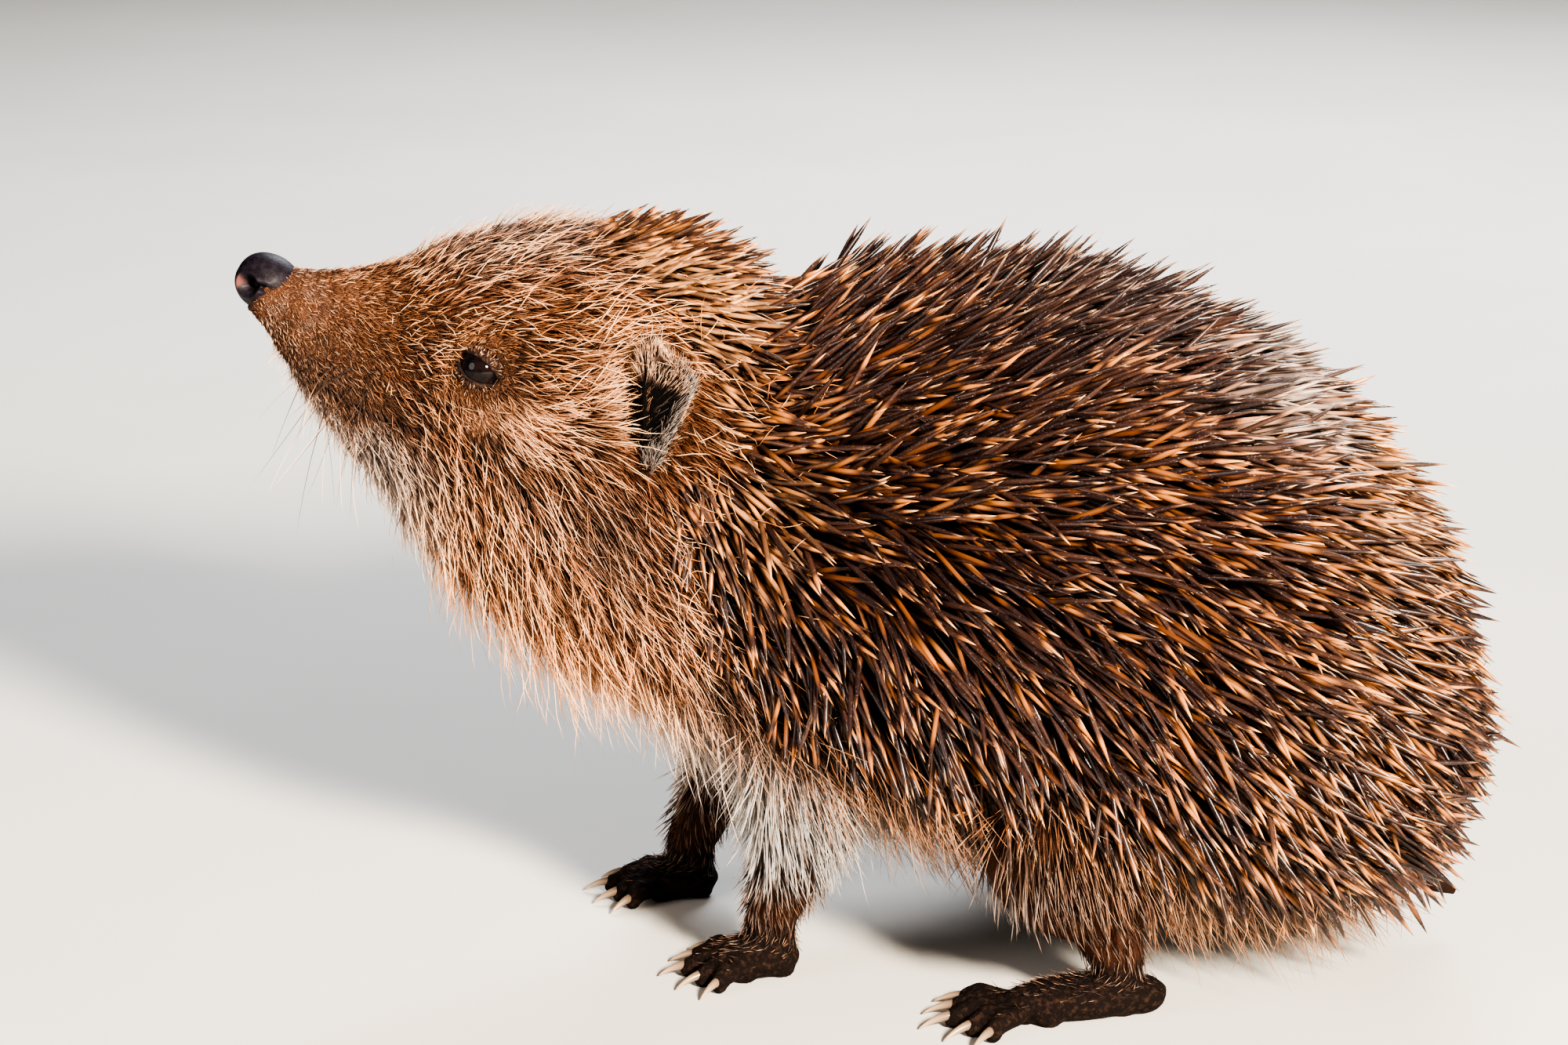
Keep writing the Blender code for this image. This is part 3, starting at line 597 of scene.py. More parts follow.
def closed_loft(rings):
    """Vertices and faces of a tube through rings (rows, columns, 3), closed by a point at either end. Its
    faces are turned round if their normals, summed against the way out from each ring's middle, point
    inwards."""
    rows, columns = rings.shape[:2]
    vertices = np.concatenate([rings.reshape(-1, 3), rings[:1].mean(1), rings[-1:].mean(1)])
    j = np.arange(columns)
    k = (j + 1) % columns
    first, last = rows * columns, rows * columns + 1
    start = np.stack([k, j, np.full(columns, first)], -1)
    end = np.stack([j, k, np.full(columns, last)], -1) + np.array([1, 1, 0]) * (rows - 1) * columns
    quads = ring_faces(rows, columns)
    a, b, c = (vertices[quads[:, i]] for i in range(3))
    outward = np.sum(np.cross(b - a, c - a) * (a - rings.mean(1)[quads[:, 0] // columns]), -1).sum()
    faces = [quads, start, end]
    return vertices, faces if outward >= 0 else [face[:, ::-1] for face in faces]


def joined(parts):
    """Several (vertices, faces) pairs as one pair, faces grouped by size."""
    vertices, groups, base = [], {}, 0
    for points, faces in parts:
        vertices.append(points)
        for face in faces:
            groups.setdefault(face.shape[1], []).append(face + base)
        base += len(points)
    return np.concatenate(vertices), [np.concatenate(groups[size]) for size in sorted(groups)]


def tube(path, radii, columns=16):
    """A closed tube along a path, whose ring at each point has the given radius and stands across the
    path."""
    path, radii = np.array(path, float), np.array(radii, float)
    along = unit(np.gradient(path, axis=0))
    side = unit(np.cross(along, np.where(np.abs(along[:, 2:]) > 0.9, [[1.0, 0, 0]], [[0, 0, 1.0]])))
    up = np.cross(side, along)
    a = np.arange(columns) / columns * 2 * np.pi
    ring = side[:, None] * np.cos(a)[None, :, None] + up[:, None] * np.sin(a)[None, :, None]
    return closed_loft(path[:, None] + ring * radii[:, None, None])


def egg(centre, size, turn=None, columns=20, rows=13):
    """An ellipsoid of half sizes size about centre, turned by a matrix: a unit ball's rings, stretched."""
    a = np.arange(columns) / columns * 2 * np.pi
    b = np.linspace(0.02, np.pi - 0.02, rows)[:, None]
    rings = np.stack([np.sin(b) * np.cos(a), np.sin(b) * np.sin(a), np.cos(b) + 0 * a], -1)
    rings = rings * np.array(size, float)
    if turn is not None:
        rings = rings @ turn.T
    return closed_loft(rings + np.array(centre, float))


def body_unwrap(u, v):
    """Where a place on the body's skin lies on the unwrap: nose to rump across, round the body upwards."""
    across = 0.98 * u / (TABLE_ROWS - 1)
    return np.stack([0.01 + across, 0.30 + 0.69 * (v % TABLE_COLUMNS) / TABLE_COLUMNS], -1)


Roots = namedtuple("Roots", "points normals back uv")


def scatter(density, spacing, rng):
    """Evenly scattered roots on the body's skin. The skin is cut into bands as wide as the spacing; roots
    follow each other along every band at even steps of area times density, each a little off its place."""
    across = np.linalg.norm(np.diff(POINTS, axis=0), axis=-1)
    closed = np.concatenate([POINTS, POINTS[:, :1]], 1)
    round_ = np.linalg.norm(np.diff(closed, axis=1), axis=-1)
    area = across * (round_[:-1] + round_[1:]) / 2
    weight = area * density(POINTS[:-1], NORMALS[:-1])
    run = np.cumsum(np.concatenate([[0], across.mean(1)]))[:-1]
    band = (run / spacing).astype(int)
    columns = weight.shape[1]
    order = np.argsort((band[:, None] * columns + np.arange(columns)[None, :]).ravel(), kind="stable")
    total = np.cumsum(weight.ravel()[order])
    count = int(total[-1])
    wanted = (np.arange(count) + 0.5 + rng.uniform(-0.42, 0.42, count)) * total[-1] / count
    cell = order[np.minimum(np.searchsorted(total, wanted), len(order) - 1)]
    u = cell // columns + rng.random(count)
    v = cell % columns + rng.random(count)
    return Roots(pick(POINTS, u, v), unit(pick(NORMALS, u, v)), unit(pick(BACKWARD, u, v)), body_unwrap(u, v))


def strands(roots, direction, bend, length, radius, tint, masks, profile, sides=3, curl=0.0):
    """Closed tapering strands as arrays: each runs from its root along direction times length, bent by bend
    times the square of the way along and curled aside by a sine, with rings of radius times profile.
    Strands that would pass through the floor are shortened. Returns vertices, faces, attributes, uv."""
    count, rings = len(length), len(profile)
    t = np.array([row[0] for row in profile])
    width = np.array([row[1] for row in profile])
    height = roots.points[:, 2] - FLOOR_GAP
    sunk = np.maximum(-length * (direction + bend)[:, 2], 1e-6)
    length = length * np.clip(height / sunk, 0.05, 1.0)
    swerve = np.cross(direction, roots.normals) * (curl * np.sin(tint * 40.0))[:, None] + np.zeros((count, 3))
    path = roots.points[:, None] + length[:, None, None] * (
        direction[:, None] * t[None, :, None]
        + bend[:, None] * (t**2)[None, :, None]
        + swerve[:, None] * np.sin(2 * np.pi * t)[None, :, None]
    )
    tip = roots.points + length[:, None] * (direction + bend)
    side = unit(np.cross(direction, roots.normals) + 1e-6)
    up = np.cross(side, direction)
    a = np.arange(sides) / sides * 2 * np.pi
    ring = side[:, None] * np.cos(a)[None, :, None] + up[:, None] * np.sin(a)[None, :, None]
    body = path[:, :, None] + ring[:, None] * (radius[:, None] * width[None, :])[..., None, None]
    per = rings * sides + 1
    vertices = np.concatenate([body.reshape(count, -1, 3), tip[:, None]], 1).reshape(-1, 3)
    first = (np.arange(count) * per)[:, None, None]
    quads = (ring_faces(rings, sides)[None] + first).reshape(-1, 4)[:, ::-1]
    j = np.arange(sides)
    last = (rings - 1) * sides
    cap = np.stack([last + (j + 1) % sides, last + j, np.full(sides, per - 1)], -1)
    caps = (cap[None] + first).reshape(-1, 3)
    base = (j[None, None] + first).reshape(-1, sides)
    along = np.tile(np.concatenate([np.repeat(t, sides), [1.0]]), count)
    attributes = {"along": along, "tint": np.repeat(tint, per)}
    attributes.update({key: np.repeat(value, per) for key, value in masks.items()})
    patch = np.stack([np.tile(np.cos(a) * 0.5, rings), np.repeat(t - 0.5, sides)], -1)
    patch = np.concatenate([patch, [[0.0, 0.5]]]) * TUFT_PATCH
    uv = (roots.uv[:, None] + patch[None]).reshape(-1, 2)
    return vertices, [quads, caps, base], attributes, uv


def gathered(roots, direction, bend, length, cell, pull, rng):
    """Locks: hairs whose roots share a patch of skin about cell across lean to that patch's mean tip.
    Returns the new bend and a tone from 0 to 1 that the hairs of one lock share."""
    key = np.floor((roots.points + rng.uniform(0, cell, 3)) / cell + 0.22 * wavy(roots.points, cell)[:, None])
    _, group = np.unique(key.astype(int), axis=0, return_inverse=True)
    group = group.ravel()
    size = np.bincount(group).astype(float)
    tip = roots.points + length[:, None] * (direction + bend)
    mean = np.stack([np.bincount(group, tip[:, i]) / size for i in range(3)], -1)[group]
    share = (pull * rng.uniform(0.5, 1.0, len(length)))[:, None]
    return bend + (mean - tip) * share / length[:, None], rng.random(len(size))[group]


# ---- Materials -------------------------------------------------------------
TIP_CREAM, TIP_ORANGE, TIP_WHITE = (0.980, 0.600, 0.350), (0.640, 0.235, 0.075), (0.990, 0.630, 0.390)
TIP_GREY, TIP_DULL, HAIR_ROOT_SHADE = (0.420, 0.412, 0.415), (0.130, 0.056, 0.030), (0.016, 0.007, 0.004)
FLECK_BROWN, FADED_BROWN = (0.085, 0.028, 0.009), (0.040, 0.015, 0.007)
SKIN_SHADE, SKIN_FLECK, SKIN_LIT = (0.032, 0.013, 0.008), (0.060, 0.022, 0.010), (0.560, 0.300, 0.150)
BARE_BLACK, BARE_BROWN, NEAR_BLACK_AND_PIT_SHADE = (0.018, 0.011, 0.010), (0.078, 0.042, 0.028), (0.003, 0.002, 0.002)
TAN_DEEP, TAN_BLOND, TAN_ASH = (0.120, 0.038, 0.013), (0.580, 0.315, 0.150), (0.350, 0.300, 0.285)
TAN_TIP, BRIGHT_TIP, SPINE_ROOT_SHADE = (0.330, 0.125, 0.042), (0.740, 0.430, 0.220), (0.018, 0.008, 0.006)
HORN_BLACK, HORN_PAINTED_GLINT = (0.009, 0.006, 0.008), (0.300, 0.240, 0.215)
NOSE_BLACK, NOSE_VIOLET, NOSE_PINK = (0.006, 0.004, 0.007), (0.015, 0.011, 0.018), (0.145, 0.060, 0.054)
IRIS_BLACK, IRIS_BROWN = (0.003, 0.003, 0.005), (0.010, 0.006, 0.006)
CLAW_ROOT, CLAW_TIP = (0.060, 0.035, 0.028), (0.42, 0.30, 0.20)
FLOOR_GREY, FLOOR_PALE = (0.60, 0.585, 0.56), (0.64, 0.625, 0.60)
FLOAT, COLOUR = "NodeSocketFloat", "NodeSocketColor"


def new_material(name, roughness, sheen=0.0, coat=0.0, specular=0.5, coat_roughness=0.1):
    """A material with its shader's even values set; returns it, its tree and its shader."""
    made = bpy.data.materials.new(name)
    made.use_nodes = True
    shader = made.node_tree.nodes["Principled BSDF"]
    shader.inputs["Roughness"].default_value = roughness
    shader.inputs["Sheen Weight"].default_value = sheen
    shader.inputs["Sheen Roughness"].default_value = 0.4
    shader.inputs["Coat Weight"].default_value = coat
    shader.inputs["Coat Roughness"].default_value = coat_roughness
    shader.inputs["Specular IOR Level"].default_value = specular
    return made, made.node_tree, shader


def put(tree, socket, value):
    """Gives a socket its value, which is a number, a colour or another node's output."""
    if isinstance(value, bpy.types.NodeSocket):
        tree.links.new(value, socket)
    else:
        socket.default_value = (*value, 1.0) if isinstance(value, tuple) else value


def node(tree, kind, inputs=(), **values):
    """A node of the kind, with its properties set by name and its first inputs by order."""
    made = tree.nodes.new(kind)
    for key, value in values.items():
        setattr(made, key, value)
    for socket, value in zip(made.inputs, inputs):
        put(tree, socket, value)
    return made


def attribute(tree, name):
    """The value of a mesh attribute."""
    return node(tree, "ShaderNodeAttribute", attribute_name=name).outputs["Fac"]


def mixed(tree, share, first, second):
    """A colour between first and second; each may be a colour or another node's output, as share may be."""
    mix = node(tree, "ShaderNodeMix", data_type="RGBA")
    for index, value in ((0, share), (6, first), (7, second)):
        put(tree, mix.inputs[index], value)
    return mix.outputs[2]


def math(tree, operation, *values):
    """The operation's result on the values."""
    return node(tree, "ShaderNodeMath", values, operation=operation).outputs[0]


def mapped(tree, value, low, high, to_low=0.0, to_high=1.0):
    """value brought from low and high to to_low and to_high, on an S curve between."""
    inputs = (value, low, high, to_low, to_high)
    return node(tree, "ShaderNodeMapRange", inputs, interpolation_type="SMOOTHSTEP").outputs[0]


def noise(tree, scale, detail=3.0):
    """Uneven noise on Object coordinates."""
    made = node(tree, "ShaderNodeTexNoise")
    coords = node(tree, "ShaderNodeTexCoord").outputs["Object"]
    for label, value in (("Vector", coords), ("Scale", scale), ("Detail", detail), ("Roughness", 0.6)):
        put(tree, made.inputs[label], value)
    return made.outputs["Fac"]


def new_group(name, inputs, outputs):
    """An empty node group; inputs and outputs name its sockets, each with its kind."""
    tree = bpy.data.node_groups.new(name, "ShaderNodeTree")
    for sockets, way in ((inputs, "INPUT"), (outputs, "OUTPUT")):
        for label, kind in sockets.items():
            tree.interface.new_socket(name=label, in_out=way, socket_type=kind)
    return tree, tree.nodes.new("NodeGroupInput").outputs, tree.nodes.new("NodeGroupOutput").inputs


def placed_group(tree, name, maker, values):
    """The outputs of a node group placed in a tree with its own values; the group is made the first
    time."""
    made = node(tree, "ShaderNodeGroup", node_tree=bpy.data.node_groups.get(name) or maker(name))
    for label, value in values.items():
        put(tree, made.inputs[label], value)
    return made.outputs


def speckles_group(name):
    """Noise on Object coordinates as a mask: Least where it is under From, Most over To, an S curve
    between."""
    labels = ("Scale", "Detail", "From", "To", "Least", "Most")
    tree, given, out = new_group(name, dict.fromkeys(labels, FLOAT), {"Mask": FLOAT})
    uneven = noise(tree, given["Scale"], given["Detail"])
    put(tree, out["Mask"], mapped(tree, uneven, *(given[label] for label in labels[2:])))
    return tree


def speckles(tree, scale, low, high, least=0.0, most=1.0, detail=3.0):
    """The mask of the speckles group, placed with its own values."""
    values = {"Scale": scale, "Detail": detail, "From": low, "To": high, "Least": least, "Most": most}
    return placed_group(tree, "speckles", speckles_group, values)["Mask"]


def pelage_group(name):
    """The fur's colour where it grows: warm brown in lighter and darker patches, turned in this order to
    the pale colour by Pale, to grey, or ash where it is pale too, by Grey, and to the dark colour by
    Dark."""
    looks = bpy.context.scene.hedgehog
    tree, given, out = new_group(name, dict.fromkeys(("Pale", "Grey", "Dark"), FLOAT), {"Color": COLOUR})
    warm = tuple(looks.warm_fur)
    patches = mapped(tree, noise(tree, 140.0), 0.35, 0.70)
    fur = mixed(tree, patches, warm, tuple(0.55 * c for c in warm))
    fur = mixed(tree, mapped(tree, noise(tree, 1000.0), 0.42, 0.60, 0.0, 0.6), fur, FLECK_BROWN)
    cool = mixed(tree, given["Pale"], tuple(looks.grey_fur), tuple(looks.ash_fur))
    fur = mixed(tree, given["Pale"], fur, tuple(looks.pale_fur))
    fur = mixed(tree, given["Grey"], fur, cool)
    put(tree, out["Color"], mixed(tree, given["Dark"], fur, tuple(looks.dark_fur)))
    return tree


def pelage(tree):
    """The colour of the pelage group, placed with the piece's own markings."""
    values = {label: attribute(tree, label.lower()) for label in ("Pale", "Grey", "Dark")}
    return placed_group(tree, "pelage", pelage_group, values)["Color"]


def raised(tree, shader, height, strength, distance):
    """A height that moves the shader's normal."""
    relief = node(tree, "ShaderNodeBump")
    for label, value in (("Strength", strength), ("Distance", distance), ("Height", height)):
        put(tree, relief.inputs[label], value)
    put(tree, shader.inputs["Normal"], relief.outputs[0])


def fur_material():
    """Hair: the pelage, a light outer part on guard hairs and pale hair, and painted shade at the root, less
    where the coat is pale. The tip is orange to cream by the hair's tint, whiter where the coat is pale,
    grey where it is grey and dull where it is dark."""
    made, tree, shader = new_material("fur", 0.42, sheen=0.05, specular=0.5)
    tint, along, guard, pale = (attribute(tree, name) for name in ("tint", "along", "guard", "pale"))
    faded = mapped(tree, tint, 0.0, 0.8, 0.70, 0.0)
    faded = math(tree, "MULTIPLY", faded, mapped(tree, pale, 0.3, 1.0, 1.0, 0.3))
    base = mixed(tree, faded, pelage(tree), FADED_BROWN)
    tip = mixed(tree, mapped(tree, tint, 0.15, 0.75), TIP_ORANGE, TIP_CREAM)
    tip = mixed(tree, pale, tip, TIP_WHITE)
    ashen = math(tree, "MULTIPLY", attribute(tree, "grey"), mapped(tree, pale, 0.0, 0.5, 0.25, 0.95))
    tip = mixed(tree, ashen, tip, TIP_GREY)
    tip = mixed(tree, math(tree, "MULTIPLY", attribute(tree, "dark"), 0.8), tip, TIP_DULL)
    reach = math(tree, "MULTIPLY", mapped(tree, along, 0.25, 0.65), mapped(tree, guard, 0.0, 1.0, 0.12, 0.92))
    lit = math(tree, "MULTIPLY", pale, mapped(tree, along, 0.30, 0.80, 0.0, 0.7))
    hair = mixed(tree, math(tree, "MAXIMUM", reach, lit), base, tip)
    # Painted shade: each hair darkens towards its root, as the shade between the hairs, less where the coat
    # is pale.
    deep = math(tree, "MULTIPLY", mapped(tree, along, 0.62, 0.05), mapped(tree, pale, 0.2, 1.0, 0.90, 0.34))
    put(tree, shader.inputs["Base Color"], mixed(tree, deep, hair, HAIR_ROOT_SHADE))
    return made


def skin_material():
    """Skin with the coat's markings over it, darker as painted shade where the hair's roots shade it, flecked
    dark, with small painted golden highlights where it is less shaded, and with a flat nap. Where bare is 1
    it is dark skin instead, near black where the dark marking is full: the own colour of lids and mole, and
    painted shade in the ear's hollow."""
    made, tree, shader = new_material("skin", 0.9, specular=0.10)
    # Painted shade: the skin darkens where the hair over it is deep, less where the coat is pale.
    shade = mapped(tree, attribute(tree, "depth"), 0.0, 1.0, 0.66, 0.92)
    shade = math(tree, "MULTIPLY", shade, mapped(tree, attribute(tree, "pale"), 0.4, 1.0, 1.0, 0.70))
    flesh = mixed(tree, shade, pelage(tree), SKIN_SHADE)
    flesh = mixed(tree, speckles(tree, 4300.0, 0.46, 0.60, 0.0, 0.75), flesh, SKIN_FLECK)
    # Painted highlight: small golden specks, only where the skin is less shaded.
    lit = math(tree, "MULTIPLY", speckles(tree, 3100.0, 0.55, 0.66, 0.0, 0.45), mapped(tree, shade, 0.9, 0.7))
    flesh = mixed(tree, lit, flesh, SKIN_LIT)
    bare = mixed(tree, speckles(tree, 1100.0, 0.46, 0.70), BARE_BLACK, BARE_BROWN)
    # Near black where the dark marking is full: the lids' and the mole's own colour, and painted shade in the
    # ear's hollow.
    bare = mixed(tree, mapped(tree, attribute(tree, "dark"), 0.75, 1.0), bare, NEAR_BLACK_AND_PIT_SHADE)
    put(tree, shader.inputs["Base Color"], mixed(tree, attribute(tree, "bare"), flesh, bare))
    raised(tree, shader, noise(tree, 1700.0, 4.0), 0.9, 0.0006)
    return made


def spine_material():
    """Horn in bands along each spine, moved a little by its tint: tan, a broad near black band and a tan
    tip; where kind is under about 0.3 it is tan up to a dark tip instead. The dark marking covers the tan,
    less at the tip, the pale one thins the band, ash turns the tan grey, painted pale glints fleck the dark
    horn, and painted shade darkens the root."""
    made, tree, shader = new_material("spine", 0.30, specular=0.42)
    looks = bpy.context.scene.hedgehog
    tint, along, kind, pale = (attribute(tree, name) for name in ("tint", "along", "kind", "pale"))
    tip, by_tint = mapped(tree, along, 0.82, 0.96), mapped(tree, tint, 0.0, 1.0)
    tan = mixed(tree, by_tint, TAN_DEEP, tuple(looks.spine_tan))
    tan = mixed(tree, tip, tan, mixed(tree, mapped(tree, kind, 0.5, 1.0), TAN_TIP, BRIGHT_TIP))
    tan = mixed(tree, pale, tan, TAN_BLOND)
    tan = mixed(tree, attribute(tree, "ash"), tan, TAN_ASH)
    horn = mixed(tree, by_tint, HORN_BLACK, tuple(looks.spine_horn))
    # Painted highlight: small pale glints on the dark horn.
    horn = mixed(tree, speckles(tree, 3200.0, 0.61, 0.70, 0.0, 0.35, detail=2.0), horn, HORN_PAINTED_GLINT)
    moved = math(tree, "ADD", along, mapped(tree, tint, 0.0, 1.0, -0.10, 0.10))
    band = math(tree, "MULTIPLY", mapped(tree, moved, 0.34, 0.48), mapped(tree, moved, 0.90, 0.78))
    is_banded = mapped(tree, kind, 0.28, 0.34)
    unbanded = math(tree, "SUBTRACT", 1.0, is_banded)
    cover = math(tree, "MULTIPLY", band, is_banded)
    cover = math(tree, "MULTIPLY_ADD", mapped(tree, moved, 0.62, 0.80), unbanded, cover)
    cover = math(tree, "MULTIPLY", cover, mapped(tree, pale, 0.0, 1.0, 0.94, 0.40))
    darker = math(tree, "MULTIPLY", attribute(tree, "dark"), math(tree, "MULTIPLY_ADD", tip, -0.33, 0.95))
    spine = mixed(tree, math(tree, "MAXIMUM", cover, darker), tan, horn)
    # Painted shade: the spine darkens towards its root, as the shade between the spines.
    spine = mixed(tree, mapped(tree, along, 0.60, 0.20, 0.0, 0.96), spine, SPINE_ROOT_SHADE)
    put(tree, shader.inputs["Base Color"], spine)
    return made


def nose_material():
    """The nose pad: near black with violet patches, pink beside the groove, black as painted shade in the
    nostrils, and a grain of small cells."""
    made, tree, shader = new_material("nose", 0.58, specular=0.16, coat=0.02, coat_roughness=0.25)
    pad = mixed(tree, speckles(tree, 900.0, 0.4, 0.65), NOSE_BLACK, NOSE_VIOLET)
    pad = mixed(tree, attribute(tree, "pink"), pad, NOSE_PINK)
    # Painted shade: the nostrils are black inside.
    put(tree, shader.inputs["Base Color"], mixed(tree, attribute(tree, "pit_shade"), pad, NEAR_BLACK_AND_PIT_SHADE))
    cells = node(tree, "ShaderNodeTexVoronoi")
    put(tree, cells.inputs["Vector"], node(tree, "ShaderNodeTexCoord").outputs["Object"])
    put(tree, cells.inputs["Scale"], 2400.0)
    raised(tree, shader, cells.outputs["Distance"], 0.55, 0.00005)
    return made


def eye_material():
    """The eye: glossy near black with faint brown patches."""
    made, tree, shader = new_material("eye", 0.03, specular=0.18)
    iris = mixed(tree, speckles(tree, 500.0, 0.4, 0.6), IRIS_BLACK, IRIS_BROWN)
    put(tree, shader.inputs["Base Color"], iris)
    return made


def claw_material():
    """Horn that lightens from the claw's root to its tip."""
    made, tree, shader = new_material("claw", 0.32, specular=0.5)
    put(tree, shader.inputs["Base Color"], mixed(tree, attribute(tree, "along"), CLAW_ROOT, CLAW_TIP))
    return made


def floor_material():
    """The plain pale floor, a little uneven in tone."""
    made, tree, shader = new_material("floor", 0.9, specular=0.1)
    put(tree, shader.inputs["Base Color"], mixed(tree, speckles(tree, 6.0, 0.3, 0.7), FLOOR_GREY, FLOOR_PALE))
    return made


MAKERS = {
    "fur": fur_material,
    "skin": skin_material,
    "spine": spine_material,
    "nose": nose_material,
    "eye": eye_material,
    "claw": claw_material,
    "floor": floor_material,
}


def material(name):
    """The named material, made the first time it is asked for."""
    return bpy.data.materials.get(name) or MAKERS[name]()


# ---- Skin parts ------------------------------------------------------------
BARE_SKIN = (
    Spot("eye", 1.0, np.add(EYE_AT, (0, 1.5, 0)), (3.6, 6, 3.3), 4),
    Spot("ear_hollow", 1.0, EAR_HOLLOW, (4.4, 9, 7.2), 6),
    Spot("mole", 1.0, MOLE_AT, (1.1, 4, 1.0), 3),
)


def body_skin():
    """Head and body: the table's rows and columns as rings, closed at nose and rump. Returns vertices,
    faces and how bare each vertex is."""
    head_rows = int(np.searchsorted(STATION, 7.6))
    rows = np.concatenate([np.arange(1, head_rows, 2), np.arange(head_rows, TABLE_ROWS - 1, 5)])
    columns = np.arange(0, TABLE_COLUMNS, 2)
    vertices, faces = closed_loft(POINTS[rows][:, columns])
    vertices[-2], vertices[-1] = POINTS[0, 0], POINTS[-1, 0]
    bare = strongest(folded(vertices), BARE_SKIN)
    return vertices, faces, np.maximum(bare, 0.8 * smooth(-91.5, -92.5, vertices[:, 0]))


def eye_axes(side):
    """The eye's outward direction, its slit's long axis and its short axis, square to each other."""
    outward = unit(np.array(EYE_OUTWARD))
    pitch = np.radians(EYE_LONG_AXIS_PITCH)
    lengthwise = unit(along_skin(np.array([np.cos(pitch), 0, -np.sin(pitch)]), outward))
    upward = np.cross(outward, lengthwise)
    upward = upward * np.sign(upward[2])
    flip = np.array([1, side, 1])
    return outward * flip, lengthwise * flip, upward * flip


def eye_centre(side):
    """The eyeball's centre: its place on the face, sunk in along the outward axis."""
    return np.array(EYE_AT) * np.array([1, side, 1]) - EYE_SINK * eye_axes(side)[0]


def lid_surface(side, a, scale, lift):
    """A place on the lids: at angle a round the slit, an ellipse with longer corners, scale times its size,
    on a ball lift wider than the eyeball. Folds ripple the outer part."""
    outward, lengthwise, upward = eye_axes(side)
    corner = 1 + 0.10 * np.cos(2 * a) + 0.08 * np.maximum(0, -np.cos(a)) ** 6
    p = LID_HALF_LENGTH * scale * corner * np.cos(a)
    q = LID_HALF_HEIGHT * scale * np.sin(a) * (1 + 0.06 * np.sin(a))
    fold = 0.10 * np.sin(9 * a + 14 * scale) + 0.05 * np.sin(23 * a - 9 * scale)
    radius = EYE_RADIUS + lift + fold * smooth(1.1, 1.4, scale) * smooth(2.1, 1.8, scale)
    flat = np.sqrt(p**2 + q**2)
    out = np.sqrt(np.maximum(radius**2 - np.minimum(flat, radius * 0.985) ** 2, 0))
    return eye_centre(side) + p[..., None] * lengthwise + q[..., None] * upward + out[..., None] * outward


LID_PROFILE = (  # scale of the slit, and lift above the eyeball
    (0.90, -0.55), (0.96, 0.02), (1.00, 0.14), (1.04, 0.28), (1.11, 0.42), (1.20, 0.46), (1.30, 0.34),
    (1.40, 0.32), (1.52, 0.28), (1.66, 0.05), (1.80, -0.30), (1.94, -0.85), (1.8, -1.8), (1.2, -2.2),
)


def lids(side):
    """Both lids as one closed ring: LID_PROFILE, which runs from inside the edge over it and down into the
    face, swept round the slit between the lids."""
    outward, a = eye_axes(side)[0], np.arange(112) / 112 * 2 * np.pi
    rings = np.array([lid_surface(side, a, scale, lift) for scale, lift in LID_PROFILE])
    count = rings.shape[1]
    quads = ring_faces(len(rings), count)
    vertices = rings.reshape(-1, 3)
    first = np.stack([np.arange(count), (np.arange(count) + 1) % count], -1)
    strip = np.concatenate([first + (len(rings) - 1) * count, first[:, ::-1]], 1)
    quads = np.concatenate([quads, strip])
    near, next_, over = (vertices[quads[count * 5 : count * 6, i]] for i in range(3))
    if np.sum(np.cross(next_ - near, over - near) * outward) < 0:
        quads = quads[:, ::-1]
    return vertices, [quads]


def ear_place(side):
    """How an ear is turned, where its root is, and the mirror that takes it to its side."""
    turn = turned("Y", EAR_LEAN_BACK) @ turned("X", EAR_LEAN_OUT) @ turned("Z", -EAR_TURN)
    root = np.array(EAR_ROOT) * np.array([1, -1, 1])
    return turn, root, np.array([1, -side, 1])


def ear_sheet(u, v, off):
    """The ear's surface in its own frame: u across from front edge to back edge, v from root to rim, off
    the distance behind its middle. A cup that opens forwards, deepest at EAR_DEEP, widest at EAR_WIDEST of
    its height, with a rolled rim, a fold inside and a top that slopes down to the back."""
    above = np.clip((v - EAR_WIDEST) / (1 - EAR_WIDEST), 0, 1)
    below = np.clip((EAR_WIDEST - v) / EAR_WIDEST, 0, 1)
    half = EAR_HALF_WIDTH * (1 - above**2.6) ** 0.5 * (1 - 0.70 * below**1.15)
    before = np.maximum(EAR_DEEP - u, 0) / (1 + EAR_DEEP)
    behind = np.maximum(u - EAR_DEEP, 0) / (1 - EAR_DEEP)
    cup = EAR_CUP * (1 + 1.0 * before**1.5 - behind**1.7) * (1 - 0.45 * v)
    rim = np.maximum(u, above)
    roll = 0.35 * smooth(0.70, 0.92, rim) * (1 - smooth(0.92, 1.02, rim))
    fold = -0.9 * np.exp(-(((u + 0.15 + 0.4 * v) / 0.15) ** 2)) * smooth(0.05, 0.3, v) * smooth(0.85, 0.55, v)
    height = EAR_HEIGHT * v * (1 - 0.09 * v * smooth(-0.3, 1, u))
    return np.stack([half * np.where(u < 0, 0.50 * u, u), cup + roll + fold + off, height], -1)


def ear_frame(u, v):
    """Directions across and up the ear's surface at u, v, from short steps, and the one square to both."""
    step = 0.01
    across = unit(ear_sheet(u + step, v, 0) - ear_sheet(u - step, v, 0))
    up = unit(ear_sheet(u, v + step, 0) - ear_sheet(u, v - step, 0))
    return across, up, unit(np.cross(across, up))


